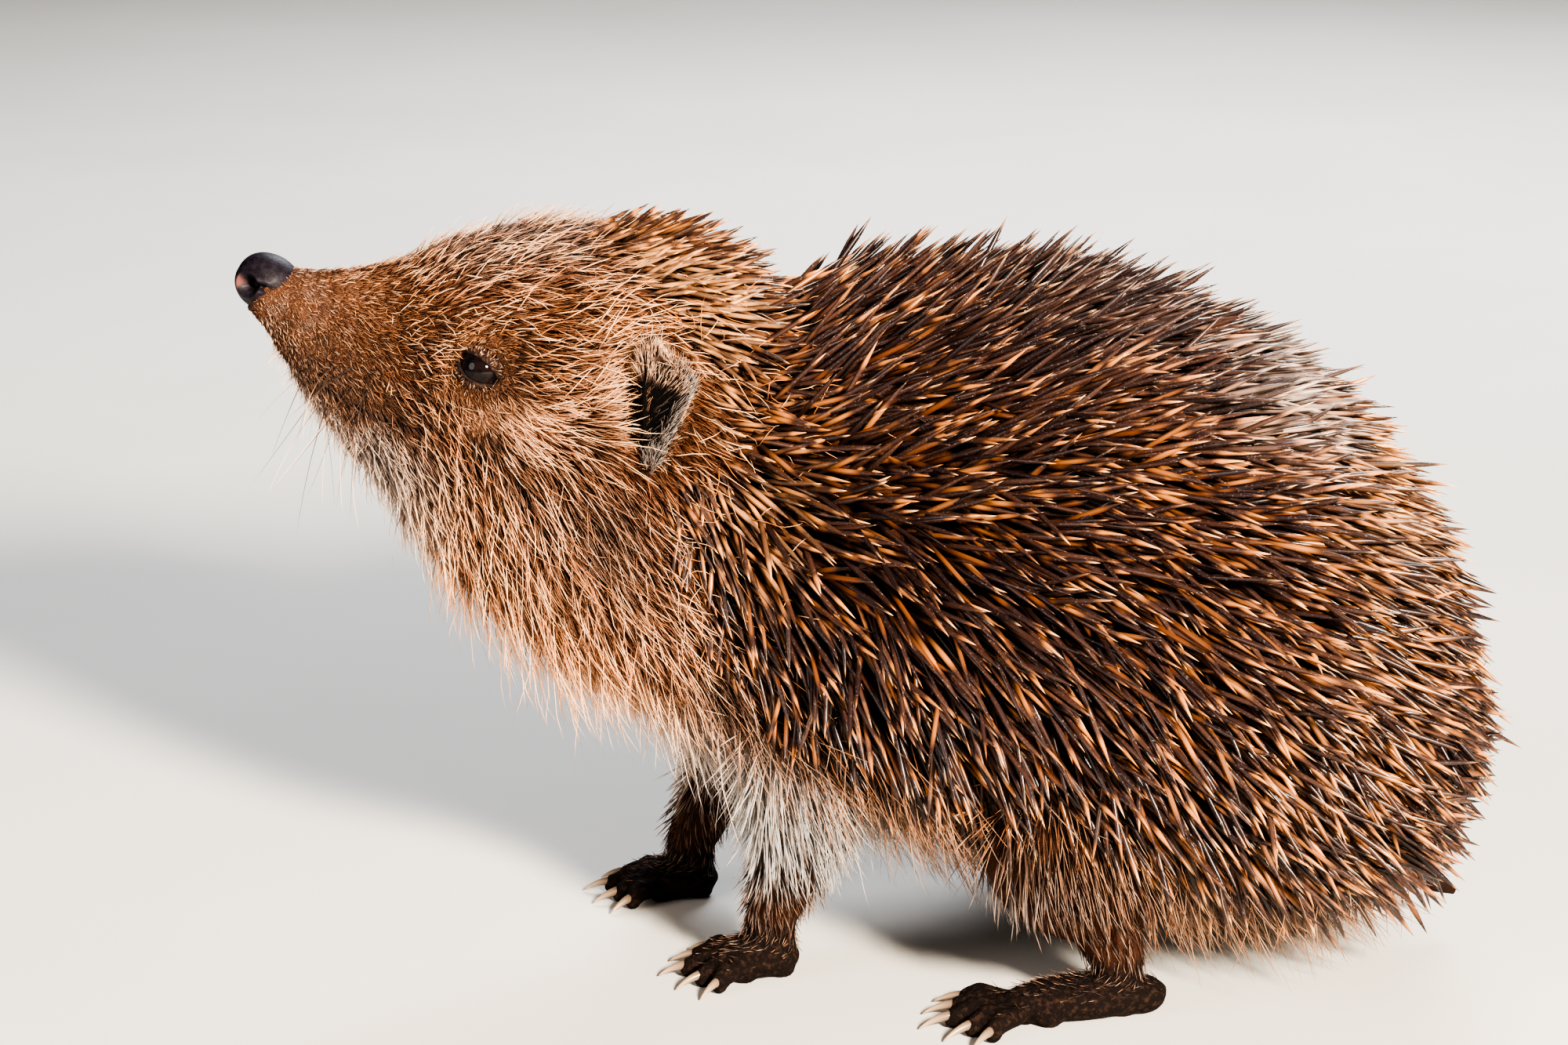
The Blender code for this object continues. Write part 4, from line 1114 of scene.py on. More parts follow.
def ear_shell(side):
    """One ear: rings that run across its inner face and back across its outer face, from root to rim.
    Returns vertices, faces and how far inside the cup each vertex lies, 0 to 1."""
    across = np.sin(np.linspace(-1, 1, 34) * np.pi / 2)
    levels = np.concatenate([np.linspace(-0.16, 0.9, 34), 1 - 0.1 * np.linspace(0.9, 0.02, 8) ** 2])
    turn, root, flip = ear_place(side)
    rings, inside = [], []
    for row in levels:
        low = max(row, 0.0)
        thick = EAR_THICKNESS * (1 - 0.45 * low) * np.maximum(1 - across**2, 0.0) ** 0.25 / 2
        front, rear = ear_sheet(across, low, -thick), ear_sheet(across[::-1], low, thick[::-1])
        ring = np.concatenate([front, rear[1:-1]])
        ring[:, 2] += EAR_HEIGHT * min(row, 0.0)
        ring[:, 1] += EAR_SINK * smooth(0.22, -0.16, row)
        rings.append((ring @ turn.T + root) * flip)
        deep = smooth(1.0, 0.75, np.abs(across)) * smooth(1.0, 0.8, low)
        inside.append(np.concatenate([deep, np.zeros(len(across) - 2)]))
    vertices, faces = closed_loft(np.array(rings))
    return vertices, faces, np.concatenate([*inside, [0, 0]])


FORE_PADS = ((2.6, 0, 2.4), (1.4, 2.7, 2.1), (1.4, -2.7, 2.1), (-4.4, 0.6, 2.3))  # ahead, aside, radius
HIND_PADS = ((5.5, 0, 2.6), (2.5, 2.4, 2.2), (2.5, -2.4, 2.2), (-9.5, 0.4, 2.6))
Foot = namedtuple("Foot", "width reach toe fan claw pads")
FEET = {"fore": Foot(5.8, 2.2, 8.2, 46, 5.0, FORE_PADS), "hind": Foot(5.6, 7.9, 9.4, 36, 5.6, HIND_PADS)}


def limb_paths(limb):
    """Where a limb stands: directions ahead and aside of the foot, turned out by toe_out, and the places of
    foot and joint."""
    angle = np.radians(180 - limb.toe_out * limb.side)
    ahead = np.array([np.cos(angle), np.sin(angle), 0])
    aside = np.array([-np.sin(angle), np.cos(angle), 0])
    foot = np.array([limb.foot_x, limb.foot_y * limb.side, 0.0])
    joint = np.array([limb.joint_x, limb.joint_y * limb.side, limb.joint_z])
    return ahead, aside, foot, joint


def toe_points(limb):
    """Each toe's root, knuckle, tip and heading: five toes fan out from the foot, shorter to the sides."""
    ahead, aside, foot, _ = limb_paths(limb)
    form = FEET[limb.kind]
    toes = []
    for k in range(-2, 3):
        spread = np.radians(form.fan) * k / 2
        heading = ahead * np.cos(spread) + aside * np.sin(spread)
        length = form.toe * (1 - 0.16 * abs(k))
        root = foot + ahead * form.reach + aside * k * form.width * 0.34 + np.array([0, 0, 2.3])
        knuckle = root + heading * length * 0.55 + np.array([0, 0, 0.35])
        tip = root + heading * length + np.array([0, 0, -0.75])
        toes.append((root, knuckle, tip, heading))
    return toes


def limb_solid(limb):
    """A limb's flesh as overlapping closed forms: upper limb, shank, palm or sole with pads, and five
    toes."""
    ahead, aside, foot, joint = limb_paths(limb)
    lift = np.array([0, 0, 1.0])
    flat = np.stack([aside, ahead, lift], -1)
    if limb.kind == "hind":
        ankle = foot - ahead * 9.0 + lift * 8.0
        shank = [joint, (joint + ankle) / 2 + ahead * 1.0, ankle, ankle - lift * 4]
        parts = [
            egg(joint, (16.0, 9.0, 14.5)),
            tube(shank, [8, 6, 4.1, 3.4]),
            egg(foot - ahead * 3.5 + lift * 3.0, (5.2, 13.4, 3.2), flat),
            egg(foot - ahead * 12.5 + lift * 2.6, (4.0, 4.0, 2.9)),
        ]
    else:
        wrist = foot - ahead * 3.0 + lift * 9.0
        middle = wrist + (joint - wrist) * 0.4 + np.array([1.4, 0, 0])
        arm = [joint + lift * 6, joint, middle, wrist, wrist - lift * 4.5]
        parts = [
            tube(arm, [7.5, 7.8, 5.4, 3.9, 3.9]),
            egg(foot - ahead * 0.6 + lift * 3.0, (5.3, 7.0, 3.1), flat),
        ]
    for forward, sideways, radius in FEET[limb.kind].pads:
        parts.append(egg(foot + ahead * forward + aside * sideways + lift, (radius, radius, 1.5)))
    for root, knuckle, tip, heading in toe_points(limb):
        path = [root - heading, (root + knuckle) / 2, knuckle, (knuckle + tip) / 2, tip]
        parts.append(tube(path, [1.5, 1.6, 1.8, 1.45, 1.15], 14))
        parts.append(egg(tip - heading * 0.7 - lift * 0.55, (1.35, 1.35, 1.15)))
    return joined(parts)


def remeshed(name, vertices, faces):
    """The union of overlapping closed forms as one even, softly blended surface standing on Z = 0: cubes of
    LIMB_VOXEL find it, and LIMB_SMOOTHING passes even it out."""
    obj = mesh_object(name, vertices, faces, material("skin"))
    remesh = obj.modifiers.new("fuse", "REMESH")
    remesh.mode = "VOXEL"
    remesh.voxel_size = LIMB_VOXEL * MM
    soften = obj.modifiers.new("soften", "SMOOTH")
    soften.factor, soften.iterations = 0.5, LIMB_SMOOTHING
    graph = bpy.context.evaluated_depsgraph_get()
    mesh = bpy.data.meshes.new_from_object(obj.evaluated_get(graph))
    points = np.empty(len(mesh.vertices) * 3, np.float32)
    mesh.vertices.foreach_get("co", points)
    quads = np.empty(len(mesh.loops), np.int32)
    mesh.loops.foreach_get("vertex_index", quads)
    points = points.reshape(-1, 3).astype(float) / MM - SHIFT
    points[:, 2] = np.maximum(points[:, 2], 0.0)
    bpy.data.objects.remove(obj)
    bpy.data.meshes.remove(mesh)
    return points, quads.reshape(-1, 4)


def limb_unwrap(index, points, limb):
    """A limb's own strip of the unwrap: angle round it across, height and reach upwards."""
    _, _, foot, _ = limb_paths(limb)
    off = points - foot
    angle = (np.arctan2(off[:, 1], off[:, 0]) / (2 * np.pi)) % 1.0
    height = np.clip((off[:, 2] + 0.35 * np.hypot(off[:, 0], off[:, 1])) / 45, 0, 1)
    return np.stack([0.25 * index + 0.01 + 0.23 * angle, 0.01 + 0.12 * height], -1)


def mesh_roots(points, quads, uv, count, keep, rng):
    """Roots spread over a mesh of quads, in proportion to area and to keep, a function of the point."""
    corners = points[quads]
    normal = np.cross(corners[:, 2] - corners[:, 0], corners[:, 3] - corners[:, 1])
    area = np.linalg.norm(normal, axis=1) * keep(corners.mean(1), unit(normal))
    total = np.cumsum(area)
    wanted = (np.arange(count) + rng.random(count)) * total[-1] / count
    face = np.minimum(np.searchsorted(total, wanted), len(quads) - 1)
    a, b = rng.random(count)[:, None], rng.random(count)[:, None]
    c = corners[face]
    at = (c[:, 0] * (1 - a) + c[:, 1] * a) * (1 - b) + (c[:, 3] * (1 - a) + c[:, 2] * a) * b
    return Roots(at, unit(normal[face]), np.zeros((count, 3)), uv[quads[face, 0]])


LIMB_SKINS = {}


class HEDGEHOG_OT_skin(bpy.types.Operator):
    """One skin over head, body, lids, ears, limbs and tail. Head and body are rings of half ellipses
    through the stations, with the face's relief added along the normals; lids and ears are swept profiles;
    limbs are tubes and eggs fused to one soft surface."""

    bl_idname = "hedgehog.skin"
    bl_label = "Skin"

    def execute(self, context):
        vertices, faces, bare = body_skin()
        parts, bares, marks = [(vertices, faces)], [bare], [markings(vertices)]

        def add(part, bare, marking=None):
            """Takes a part in, with the coat's own markings unless others are given."""
            parts.append(part)
            bares.append(bare)
            marks.append(marking or markings(part[0]))

        for side in (-1, 1):
            part = lids(side)
            add(part, np.ones(len(part[0])))
            v, f, inside = ear_shell(side)
            # Painted shade: the skin darkens deep inside the ear's cup.
            shades = {"pale": 0.45 * (1 - inside), "dark": 0.25 + 0.75 * inside, "grey": 0.4 + 0 * inside}
            add((v, f), 0.6 + 0.4 * inside, shades)
        for name, limb in LIMBS.items():
            v, quads = LIMB_SKINS[name] = remeshed(f"limb_{name}", *limb_solid(limb))
            add((v, [quads]), smooth(11, 7, v[:, 2]))
        t = np.linspace(0, 1, 9)
        path = np.outer(1 - t, TAIL_ROOT) + np.outer(t, TAIL_TIP)
        tail = tube(path, along_line(t, TAIL_RADII), 20)
        add(tail, np.full(len(tail[0]), 0.7))
        vertices, faces = joined(parts)
        masks = {key: np.concatenate([mark[key] for mark in marks]) for key in marks[0]}
        masks["bare"] = np.concatenate(bares)
        # How deep the hair over the skin is; the skin's painted shade follows it.
        masks["depth"] = smooth(1.2, 5.0, fur_length(vertices, np.zeros_like(vertices)))
        obj = mesh_object("skin", vertices, faces, material("skin"), True, masks)
        nodes = ["head", "neck", "trunk", "tail", "ear_left", "ear_right"]
        for part in ("foreleg", "forefoot", "hindleg", "hindfoot"):
            nodes += [f"{part}_left", f"{part}_right"]
        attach(obj, "root")
        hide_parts(*nodes)
        return {"FINISHED"}


NOSTRIL_WING = (
    Spot("slit", -0.24, (-0.18, 0.96, 0.02), (0.30, 0.4, 0.13), 3),
    Spot("fold_over_slit", 0.05, (-0.10, 0.95, 0.14), (0.30, 0.4, 0.20), 3),
)


class HEDGEHOG_OT_nose(bpy.types.Operator):
    """The bare nose pad: an ellipsoid whose surface is moved in and out by a function of direction. A
    groove runs down its front, two comma-shaped nostrils open to the sides and a crease runs back from
    each."""

    bl_idname = "hedgehog.nose"
    bl_label = "Nose"

    def execute(self, context):
        columns, rows = 180, 130
        a = np.arange(columns) / columns * 2 * np.pi
        b = np.linspace(0.01, np.pi - 0.01, rows)[:, None]
        ray = np.stack([-np.cos(b) + 0 * a, np.sin(b) * np.sin(a), np.sin(b) * np.cos(a)], -1)
        p = folded(ray)
        out = 1 + 0.05 * bump(p, (-0.5, 0.25, 0.8), 0.5)
        groove = smooth(0.2, -0.5, p[..., 0]) * smooth(0.75, 0.3, p[..., 2])
        out = out - 0.10 * np.exp(-((p[..., 1] / 0.10) ** 2)) * groove
        away = np.linalg.norm((p - NOSTRIL) / np.array([0.33, 0.42, 0.38]), axis=-1)
        out = out + 0.06 * np.exp(-(((away - 1.15) / 0.22) ** 2))
        out = out - 0.50 * np.exp(-((away / 0.92) ** 5)) + summed(p, NOSTRIL_WING)
        crease = np.exp(-(((p[..., 2] + 0.46 + 0.25 * p[..., 0]) / 0.05) ** 2)) * smooth(0.0, 0.35, p[..., 0])
        out = out - 0.05 * crease * smooth(0.3, 0.7, p[..., 1])
        rings = (ray * out[..., None] * np.array(NOSE_SIZE)) @ turned("Y", 14).T + np.array(NOSE_CENTRE)
        vertices, faces = closed_loft(rings)
        pink = bump(p, (-0.85, 0.50, -0.10), (0.07, 0.20, 0.46), 3) * smooth(1.45, 1.1, away)
        # Painted shade: where the nostrils and their slits are painted black.
        pit_shade = np.maximum(smooth(0.95, 0.70, away), bump(p, (-0.16, 0.96, 0.02), (0.26, 0.4, 0.09), 3))
        masks = {key: np.append(values.ravel(), [0, 0]) for key, values in (("pink", pink), ("pit_shade", pit_shade))}
        obj = mesh_object("nose_pad", vertices, faces, material("nose"), True, masks)
        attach(obj, "root")
        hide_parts("nose")
        return {"FINISHED"}


class HEDGEHOG_OT_eyes(bpy.types.Operator):
    """Two eyeballs: spheres with a slight bulge over the pupil, along the outward axis."""

    bl_idname = "hedgehog.eyes"
    bl_label = "Eyes"

    def execute(self, context):
        for side, word in ((-1, "left"), (1, "right")):
            outward, lengthwise, upward = eye_axes(side)
            a = np.arange(64) / 64 * 2 * np.pi
            b = np.linspace(0.005, np.pi - 0.005, 40)[:, None, None]
            swell = EYE_RADIUS * (1 + 0.035 * np.exp(-((b / 0.7) ** 2)))
            ring = np.cos(a)[None, :, None] * lengthwise + np.sin(a)[None, :, None] * upward
            rings = swell * (np.cos(b) * outward + np.sin(b) * ring)
            vertices, faces = closed_loft(rings + eye_centre(side))
            obj = mesh_object(f"eyeball_{word}", vertices, faces, material("eye"))
            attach(obj, "root")
            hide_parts(f"eye_{word}")
        return {"FINISHED"}


class HEDGEHOG_OT_claws(bpy.types.Operator):
    """Twenty claws: each a tube along a parabola that leaves the toe's tip level and drops to the
    ground."""

    bl_idname = "hedgehog.claws"
    bl_label = "Claws"

    def execute(self, context):
        parts, along = [], []
        t = np.linspace(0, 1, 9)
        for limb in LIMBS.values():
            length = FEET[limb.kind].claw
            for _, _, tip, heading in toe_points(limb):
                path = tip + heading * (length * t - 1.2)[:, None]
                path[:, 2] = tip[2] + 0.35 + 0.25 * t - (tip[2] + 0.30) * t**2
                v, f = tube(path, 0.85 * (1 - 0.88 * t**1.3), 12)
                parts.append((v, f))
                along.append(np.concatenate([np.repeat(t, 12), [0, 1]]))
        vertices, faces = joined(parts)
        obj = mesh_object("claws", vertices, faces, material("claw"), True, {"along": np.concatenate(along)})
        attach(obj, "root")
        return {"FINISHED"}


# ---- Coat ------------------------------------------------------------------
def coat_piece(name, built, material_name):
    """One piece of the coat from what strands() returns."""
    vertices, faces, attributes, uv = built
    triangles = sum(len(f) * (f.shape[1] - 2) for f in faces)
    if triangles > MOST_TRIANGLES:
        raise RuntimeError(f"{name} has {triangles} triangles")
    obj = mesh_object(name, vertices, faces, material(material_name), True, attributes, uv)
    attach(obj, "root")


def chosen(keep, roots, ways, masks):
    """The roots, ways and masks of the strands to keep."""
    masks = {key: values[keep] for key, values in masks.items()}
    return Roots(*(field[keep] for field in roots)), *(way[keep] for way in ways), masks


# Each profile has the way along the strand and its thickness there, as shares.
SPINE_PROFILE = ((0.0, 0.45), (0.12, 0.90), (0.45, 1.0), (0.77, 0.90), (0.92, 0.36))
HAIR_PROFILE = ((0.0, 0.9), (0.45, 1.0), (0.80, 0.62))
LONG_HAIR_PROFILE = ((0.0, 0.9), (0.30, 1.0), (0.60, 0.85), (0.85, 0.5))
WHISKER_PROFILE = tuple((t, 1 - 0.8 * t) for t in (0.0, 0.15, 0.3, 0.5, 0.7, 0.85))


def in_mantle(points, normals):
    """1 where spines grow: behind the front edge and not underneath."""
    return smooth(-0.8, 0.8, mantle_edge(points)) * (1 - underside(normals))


class HEDGEHOG_OT_spines(bpy.types.Operator):
    """Spines from the crown to the rump: straight spindles on a scatter of roots. Each leans back from the
    normal, fanning down behind the shoulder, and its neighbours cross it at small random angles."""

    bl_idname = "hedgehog.spines"
    bl_label = "Spines"

    def execute(self, context):
        rng = np.random.default_rng(SEED)
        looks = context.scene.hedgehog

        def density(p, n):
            """Spines per square millimetre: one per spacing squared, half as many again on the crown."""
            crown = 1 + 0.5 * smooth(-18, -28, p[..., 0])
            return looks.spine_density / SPINE_SPACING**2 * in_mantle(p, n) * crown

        roots = scatter(density, SPINE_SPACING, rng)
        points, normals = roots.points, roots.normals
        count = len(points)
        p = folded(points)
        x, z = p[:, 0], p[:, 2]
        edge = mantle_edge(points)
        low = smooth(88, 52, z)
        turn = low * (0.45 + 1.9 * np.exp(-np.maximum(edge, 0) / 20)) + 0.25 * smooth(60, 85, x)
        turn = turn - 0.30 * bump(p, (0, 20, 100), (22, 24, 16))
        lie = unit(roots.back + along_skin(np.array(DOWN), normals) * turn[:, None])
        lean = 27 - 3 * low + 5 * bump(p, (2, 0, 106), (16, 26, 14)) - 2 * smooth(40, 80, x)
        lean = lean - 7 * smooth(-14, -30, x) * smooth(112, 92, z) - 5 * smooth(10, 0, edge)
        lean = lean + 9 * smooth(-8, -20, x) * smooth(97, 107, z)
        lean = np.radians(np.clip(lean + 6 * wavy(points, 2.4, 0.7) + rng.normal(0, 7.5, count), 6, 62))
        sweep = 17 * wavy(points, 3.2, 5.0) + 9 * wavy(points, 8.0, 1.0)
        lie = swung(lie, normals, np.radians(sweep + rng.normal(0, 15, count)))
        direction = leaning(lie, normals, lean)
        grown = 1 - 0.42 * np.exp(-np.maximum(edge, 0) / 6) - 0.27 * smooth(-6, -26, x)
        length = looks.spine_length / MM * grown * rng.uniform(0.84, 1.08, count)
        radius = looks.spine_radius / MM * rng.uniform(0.80, 1.08, count) * (0.62 + 0.38 * grown)
        bend = rng.normal(0, 0.012, (count, 3))
        pale, dark, ash = spine_markings(points)
        pale = pale * rng.uniform(0.50, 1.25, count)
        dark = smooth(-0.12, 0.12, dark - rng.random(count))
        tint = rng.random(count)
        masks = {"pale": pale, "dark": dark, "kind": rng.random(count), "ash": ash}
        third = np.searchsorted(np.quantile(x, [1 / 3, 2 / 3]), x, side="right")
        for index, name in enumerate(("spines_front", "spines_back", "spines_rump")):
            kept = chosen(third == index, roots, (direction, bend, length, radius, tint), masks)
            coat_piece(name, strands(*kept, SPINE_PROFILE, 5), "spine")
        return {"FINISHED"}


Fur = namedtuple("Fur", "lean jitter thickness cell pull guards droop profile curl")
FACE_FUR = Fur(22, 11, 0.088, 2.0, 0.60, 0.21, 0.0, HAIR_PROFILE, 0.035)
BODY_FUR = Fur(27, 15, 0.095, 3.6, 0.62, 0.30, 0.14, LONG_HAIR_PROFILE, 0.09)
GUARD_HAIR = Fur(34, 20, 0.075, 6.0, 0.2, 1.0, 0.05, LONG_HAIR_PROFILE, 0.10)


def fur_piece(name, roots, rng, fur):
    """Hair on the given roots, split into pieces if there is much of it. Each hair leans up from the lie of
    the coat by fur.lean degrees, swings by fur.jitter, and is pulled into locks of about fur.cell across.
    The share fur.guards of it are guard hairs: longer, stiffer and more raised than the underfur, and free
    of its locks."""
    points, normals = roots.points, roots.normals
    count = len(points)
    guard = (rng.random(count) < fur.guards * (0.75 + 0.25 * smooth(-84, -66, points[:, 0]))).astype(float)
    lie = fur_direction(points, normals, roots.back)
    drift = 10 * wavy(points, 3.2, 2.0)
    lie = swung(lie, normals, np.radians(drift + rng.normal(0, 1, count) * fur.jitter * (1 + 0.7 * guard)))
    angle = (fur.lean + rng.normal(0, 6, count) + 7 * guard) * fur_lift(points, normals)
    direction = leaning(lie, normals, np.radians(np.clip(angle, 6, 80)))
    length = fur_length(points, normals) * rng.uniform(0.75, 1.15, count) * (0.72 + 0.58 * guard)
    bend = (lie - direction) * 0.35 + rng.normal(0, 0.06, (count, 3)) * (1 + guard)[:, None]
    bend[:, 2] -= fur.droop
    bend, tone = gathered(roots, direction, bend, length, fur.cell, fur.pull * (1 - 0.75 * guard), rng)
    thickness = fur.thickness * bpy.context.scene.hedgehog.hair_thickness
    radius = thickness * rng.uniform(0.75, 1.15, count) * np.clip(length / 6, 0.55, 1.0) * (1 + 0.08 * guard)
    tint = np.where(guard > 0, rng.random(count), 0.7 * tone + 0.3 * rng.random(count))
    masks = {**markings(points), "guard": guard}
    triangles = count * (6 * (len(fur.profile) - 1) + 4)
    pieces = max(int(np.ceil(triangles / SPLIT_TRIANGLES)), 1)
    for index, keep in enumerate(np.array_split(np.argsort(points[:, 0], kind="stable"), pieces)):
        kept = chosen(keep, roots, (direction, bend, length, radius, tint), masks)
        label = name if pieces < 2 else f"{name}_{index + 1}"
        coat_piece(label, strands(*kept, fur.profile, curl=fur.curl), "fur")


HAIRLESS = (
    Spot("eye", 1.0, np.add(EYE_AT, (0, 1.0, 0)), (3.9, 6, 3.0), 6),
    Spot("ear_hollow", 1.0, EAR_HOLLOW, (3.1, 8, 5.6), 6),
    Spot("mole", 1.0, MOLE_AT, (1.0, 4, 0.9), 4),
    Spot("nose_pad", 1.0, NOSE_CENTRE, (5.3, 5.0, 4.7), 8),
)


def bare_places(points):
    """1 where no hair grows: on the lids, in the ear's hollow, on the mole, and on and before the nose
    pad."""
    p = folded(points)
    return np.clip(summed(p, HAIRLESS) + smooth(-92.0, -92.8, p[..., 0]), 0, 1)


FACE_HAIRS = ((-92, 9.0), (-82, 7.5), (-70, 5.0), (-58, 3.3), (-44, 2.6), (-30, 2.2))  # per square millimetre
LID_HAIRS = 520  # on each side
LID_HAIR_LIFT = ((1.1, 0.42), (1.2, 0.46), (1.3, 0.34), (1.52, 0.28), (1.66, 0.05), (1.8, -0.30), (1.9, -0.7))
THICKER_HAIR = (
    Spot("round_eye", 8.0, EYE_AT, (6.5, 9, 6.0), 4),
    Spot("before_ear", 2.6, (-38.5, 25, 93), (4.6, 9, 8), 4),
)


class HEDGEHOG_OT_face_fur(bpy.types.Operator):
    """Short hair of muzzle, brow and cheeks: three-sided tapering strands that lie back from the nose."""

    bl_idname = "hedgehog.face_fur"
    bl_label = "Face fur"

    def execute(self, context):
        rng = np.random.default_rng(SEED + 1)
        thick = context.scene.hedgehog.fur_density

        def density(p, n):
            """Hairs per square millimetre: by the place along the head, thicker round eye and ear."""
            per_mm2 = along_line(p[..., 0], FACE_HAIRS) + summed(folded(p), THICKER_HAIR)
            here = smooth(-14, -20, p[..., 0]) * (1 - in_mantle(p, n)) * (1 - bare_places(p))
            return thick * per_mm2 * here

        fur_piece("face_fur", scatter(density, 0.6, rng), rng, FACE_FUR)
        self.lid_fur(rng)
        return {"FINISHED"}

    def lid_fur(self, rng):
        """Tiny hairs all over the lids: from each root one points away from the slit, close to the skin.
        Some are golden, and those at the slit's front corner are pale."""
        fields, ways, corners, count = [], [], [], LID_HAIRS
        for side in (-1, 1):
            a, scale = rng.uniform(0, 2 * np.pi, count), rng.uniform(1.10, 1.85, count)
            lift = along_line(scale, LID_HAIR_LIFT)
            at = lid_surface(side, a, scale, lift)
            normal = unit(at - eye_centre(side))
            out = unit(along_skin(at - lid_surface(side, a, 0.8 * scale, lift), normal))
            across, up = 0.02 * np.cos(a) * scale, 0.02 * np.sin(a) * scale
            corners.append(smooth(0.55, 0.30, np.abs(a - np.pi)))
            unwrap = np.stack([0.36 + across, 0.42 + 0.26 * (side > 0) + up], -1)
            fields.append(Roots(at - 0.05 * normal, normal, out, unwrap))
            ways.append(out + 0.45 * normal + rng.normal(0, 0.28, (count, 3)))
        roots, count = Roots(*(np.concatenate(column) for column in zip(*fields))), 2 * count
        golden = (rng.random(count) < 0.28).astype(float)
        corner = np.concatenate(corners)
        masks = {"pale": np.maximum(0.5 * golden, corner), "dark": 0.75 * (1 - golden) * (1 - corner)}
        masks.update(grey=np.zeros(count), guard=np.maximum(golden, corner))
        bend, length = rng.normal(0, 0.1, (count, 3)), rng.uniform(0.5, 1.15, count)
        radius, tint = 0.040 * rng.uniform(0.8, 1.2, count), rng.random(count)
        built = strands(roots, unit(np.concatenate(ways)), bend, length, radius, tint, masks, HAIR_PROFILE)
        coat_piece("lid_fur", built, "fur")


class HEDGEHOG_OT_body_fur(bpy.types.Operator):
    """Long hair of throat, chest, belly and flanks: strands gathered into loose locks that droop, and
    single guard hairs among the foremost spines."""

    bl_idname = "hedgehog.body_fur"
    bl_label = "Body fur"

    def execute(self, context):
        rng = np.random.default_rng(SEED + 2)
        thick = context.scene.hedgehog.fur_density

        def density(p, n):
            """Hairs per square millimetre: thicker to the front and along the edge of the spines."""
            fringe = np.exp(-((mantle_edge(p) / 9) ** 2)) * smooth(-0.9, -0.3, n[..., 2])
            here = smooth(-22, -14, p[..., 0]) * (1 - in_mantle(p, n))
            return thick * here * (0.85 + 1.3 * fringe + 1.9 * smooth(30, -15, p[..., 0]))

        def stray(p, n):
            """Guard hairs per square millimetre: in a band behind the edge of the spines."""
            edge = mantle_edge(p)
            return 0.15 * thick * smooth(-4, 0, edge) * smooth(24, 4, edge) * (1 - underside(n))

        fur_piece("body_fur", scatter(density, 1.0, rng), rng, BODY_FUR)
        fur_piece("guard_hair", scatter(stray, 2.0, rng), rng, GUARD_HAIR)
        return {"FINISHED"}


LIMB_HAIRS = 1700  # on each limb
LIMB_FUR_LENGTH = ((3, 1.3), (8, 2.4), (16, 4.5), (24, 8.0), (34, 11.0))  # height, and the hair's length


class HEDGEHOG_OT_limb_fur(bpy.types.Operator):
    """Hair on legs and the tops of the feet: strands that point down the limb."""

    bl_idname = "hedgehog.limb_fur"
    bl_label = "Limb fur"

    def execute(self, context):
        rng = np.random.default_rng(SEED + 3)
        thick = context.scene.hedgehog.fur_density
        fields, lengths = [], []
        if not LIMB_SKINS:
            raise RuntimeError("The skin is built before the limbs' fur")
        for index, (name, limb) in enumerate(LIMBS.items()):
            points, quads = LIMB_SKINS[name]
            uv = limb_unwrap(index, points, limb)
            ahead, _, foot, _ = limb_paths(limb)

            def keep(p, n):
                """1 where hair grows: not on the ground, the toes or the underside."""
                reach = (p - foot) @ ahead
                top = smooth(3.0, 6.0, p[:, 2]) * smooth(12, 7, reach)
                return top * smooth(-0.7, -0.2, n[:, 2])

            roots = mesh_roots(points, quads, uv, int(LIMB_HAIRS * thick), keep, rng)
            low = smooth(12, 5, roots.points[:, 2])[:, None]
            back = np.array([0.35, 0, -1.0]) * (1 - low) + ahead * low + np.array([0, 0, -0.25])
            fields.append(roots._replace(back=unit(along_skin(back, roots.normals))))
            lengths.append(along_line(roots.points[:, 2], LIMB_FUR_LENGTH))
        roots = Roots(*(np.concatenate(column) for column in zip(*fields)))
        length = np.concatenate(lengths) * rng.uniform(0.7, 1.2, len(roots.points))
        count = len(length)
        angle = np.radians(np.clip(rng.normal(22, 7, count), 5, 60))
        lie = unit(roots.back + rng.normal(0, 0.16, (count, 3)))
        direction = leaning(lie, roots.normals, angle)
        bend, tone = gathered(roots, direction, rng.normal(0, 0.05, (count, 3)), length, 1.8, 0.45, rng)
        radius = 0.11 * rng.uniform(0.7, 1.2, count) * np.clip(length / 5, 0.6, 1)
        masks = {**markings(roots.points), "guard": (rng.random(count) < 0.4).astype(float)}
        built = strands(roots, direction, bend, length, radius, tone, masks, HAIR_PROFILE)
        coat_piece("limb_fur", built, "fur")
        return {"FINISHED"}


EAR_HAIRS = {"wall": 1500, "rim": 420, "tuft": 420, "behind": 800}


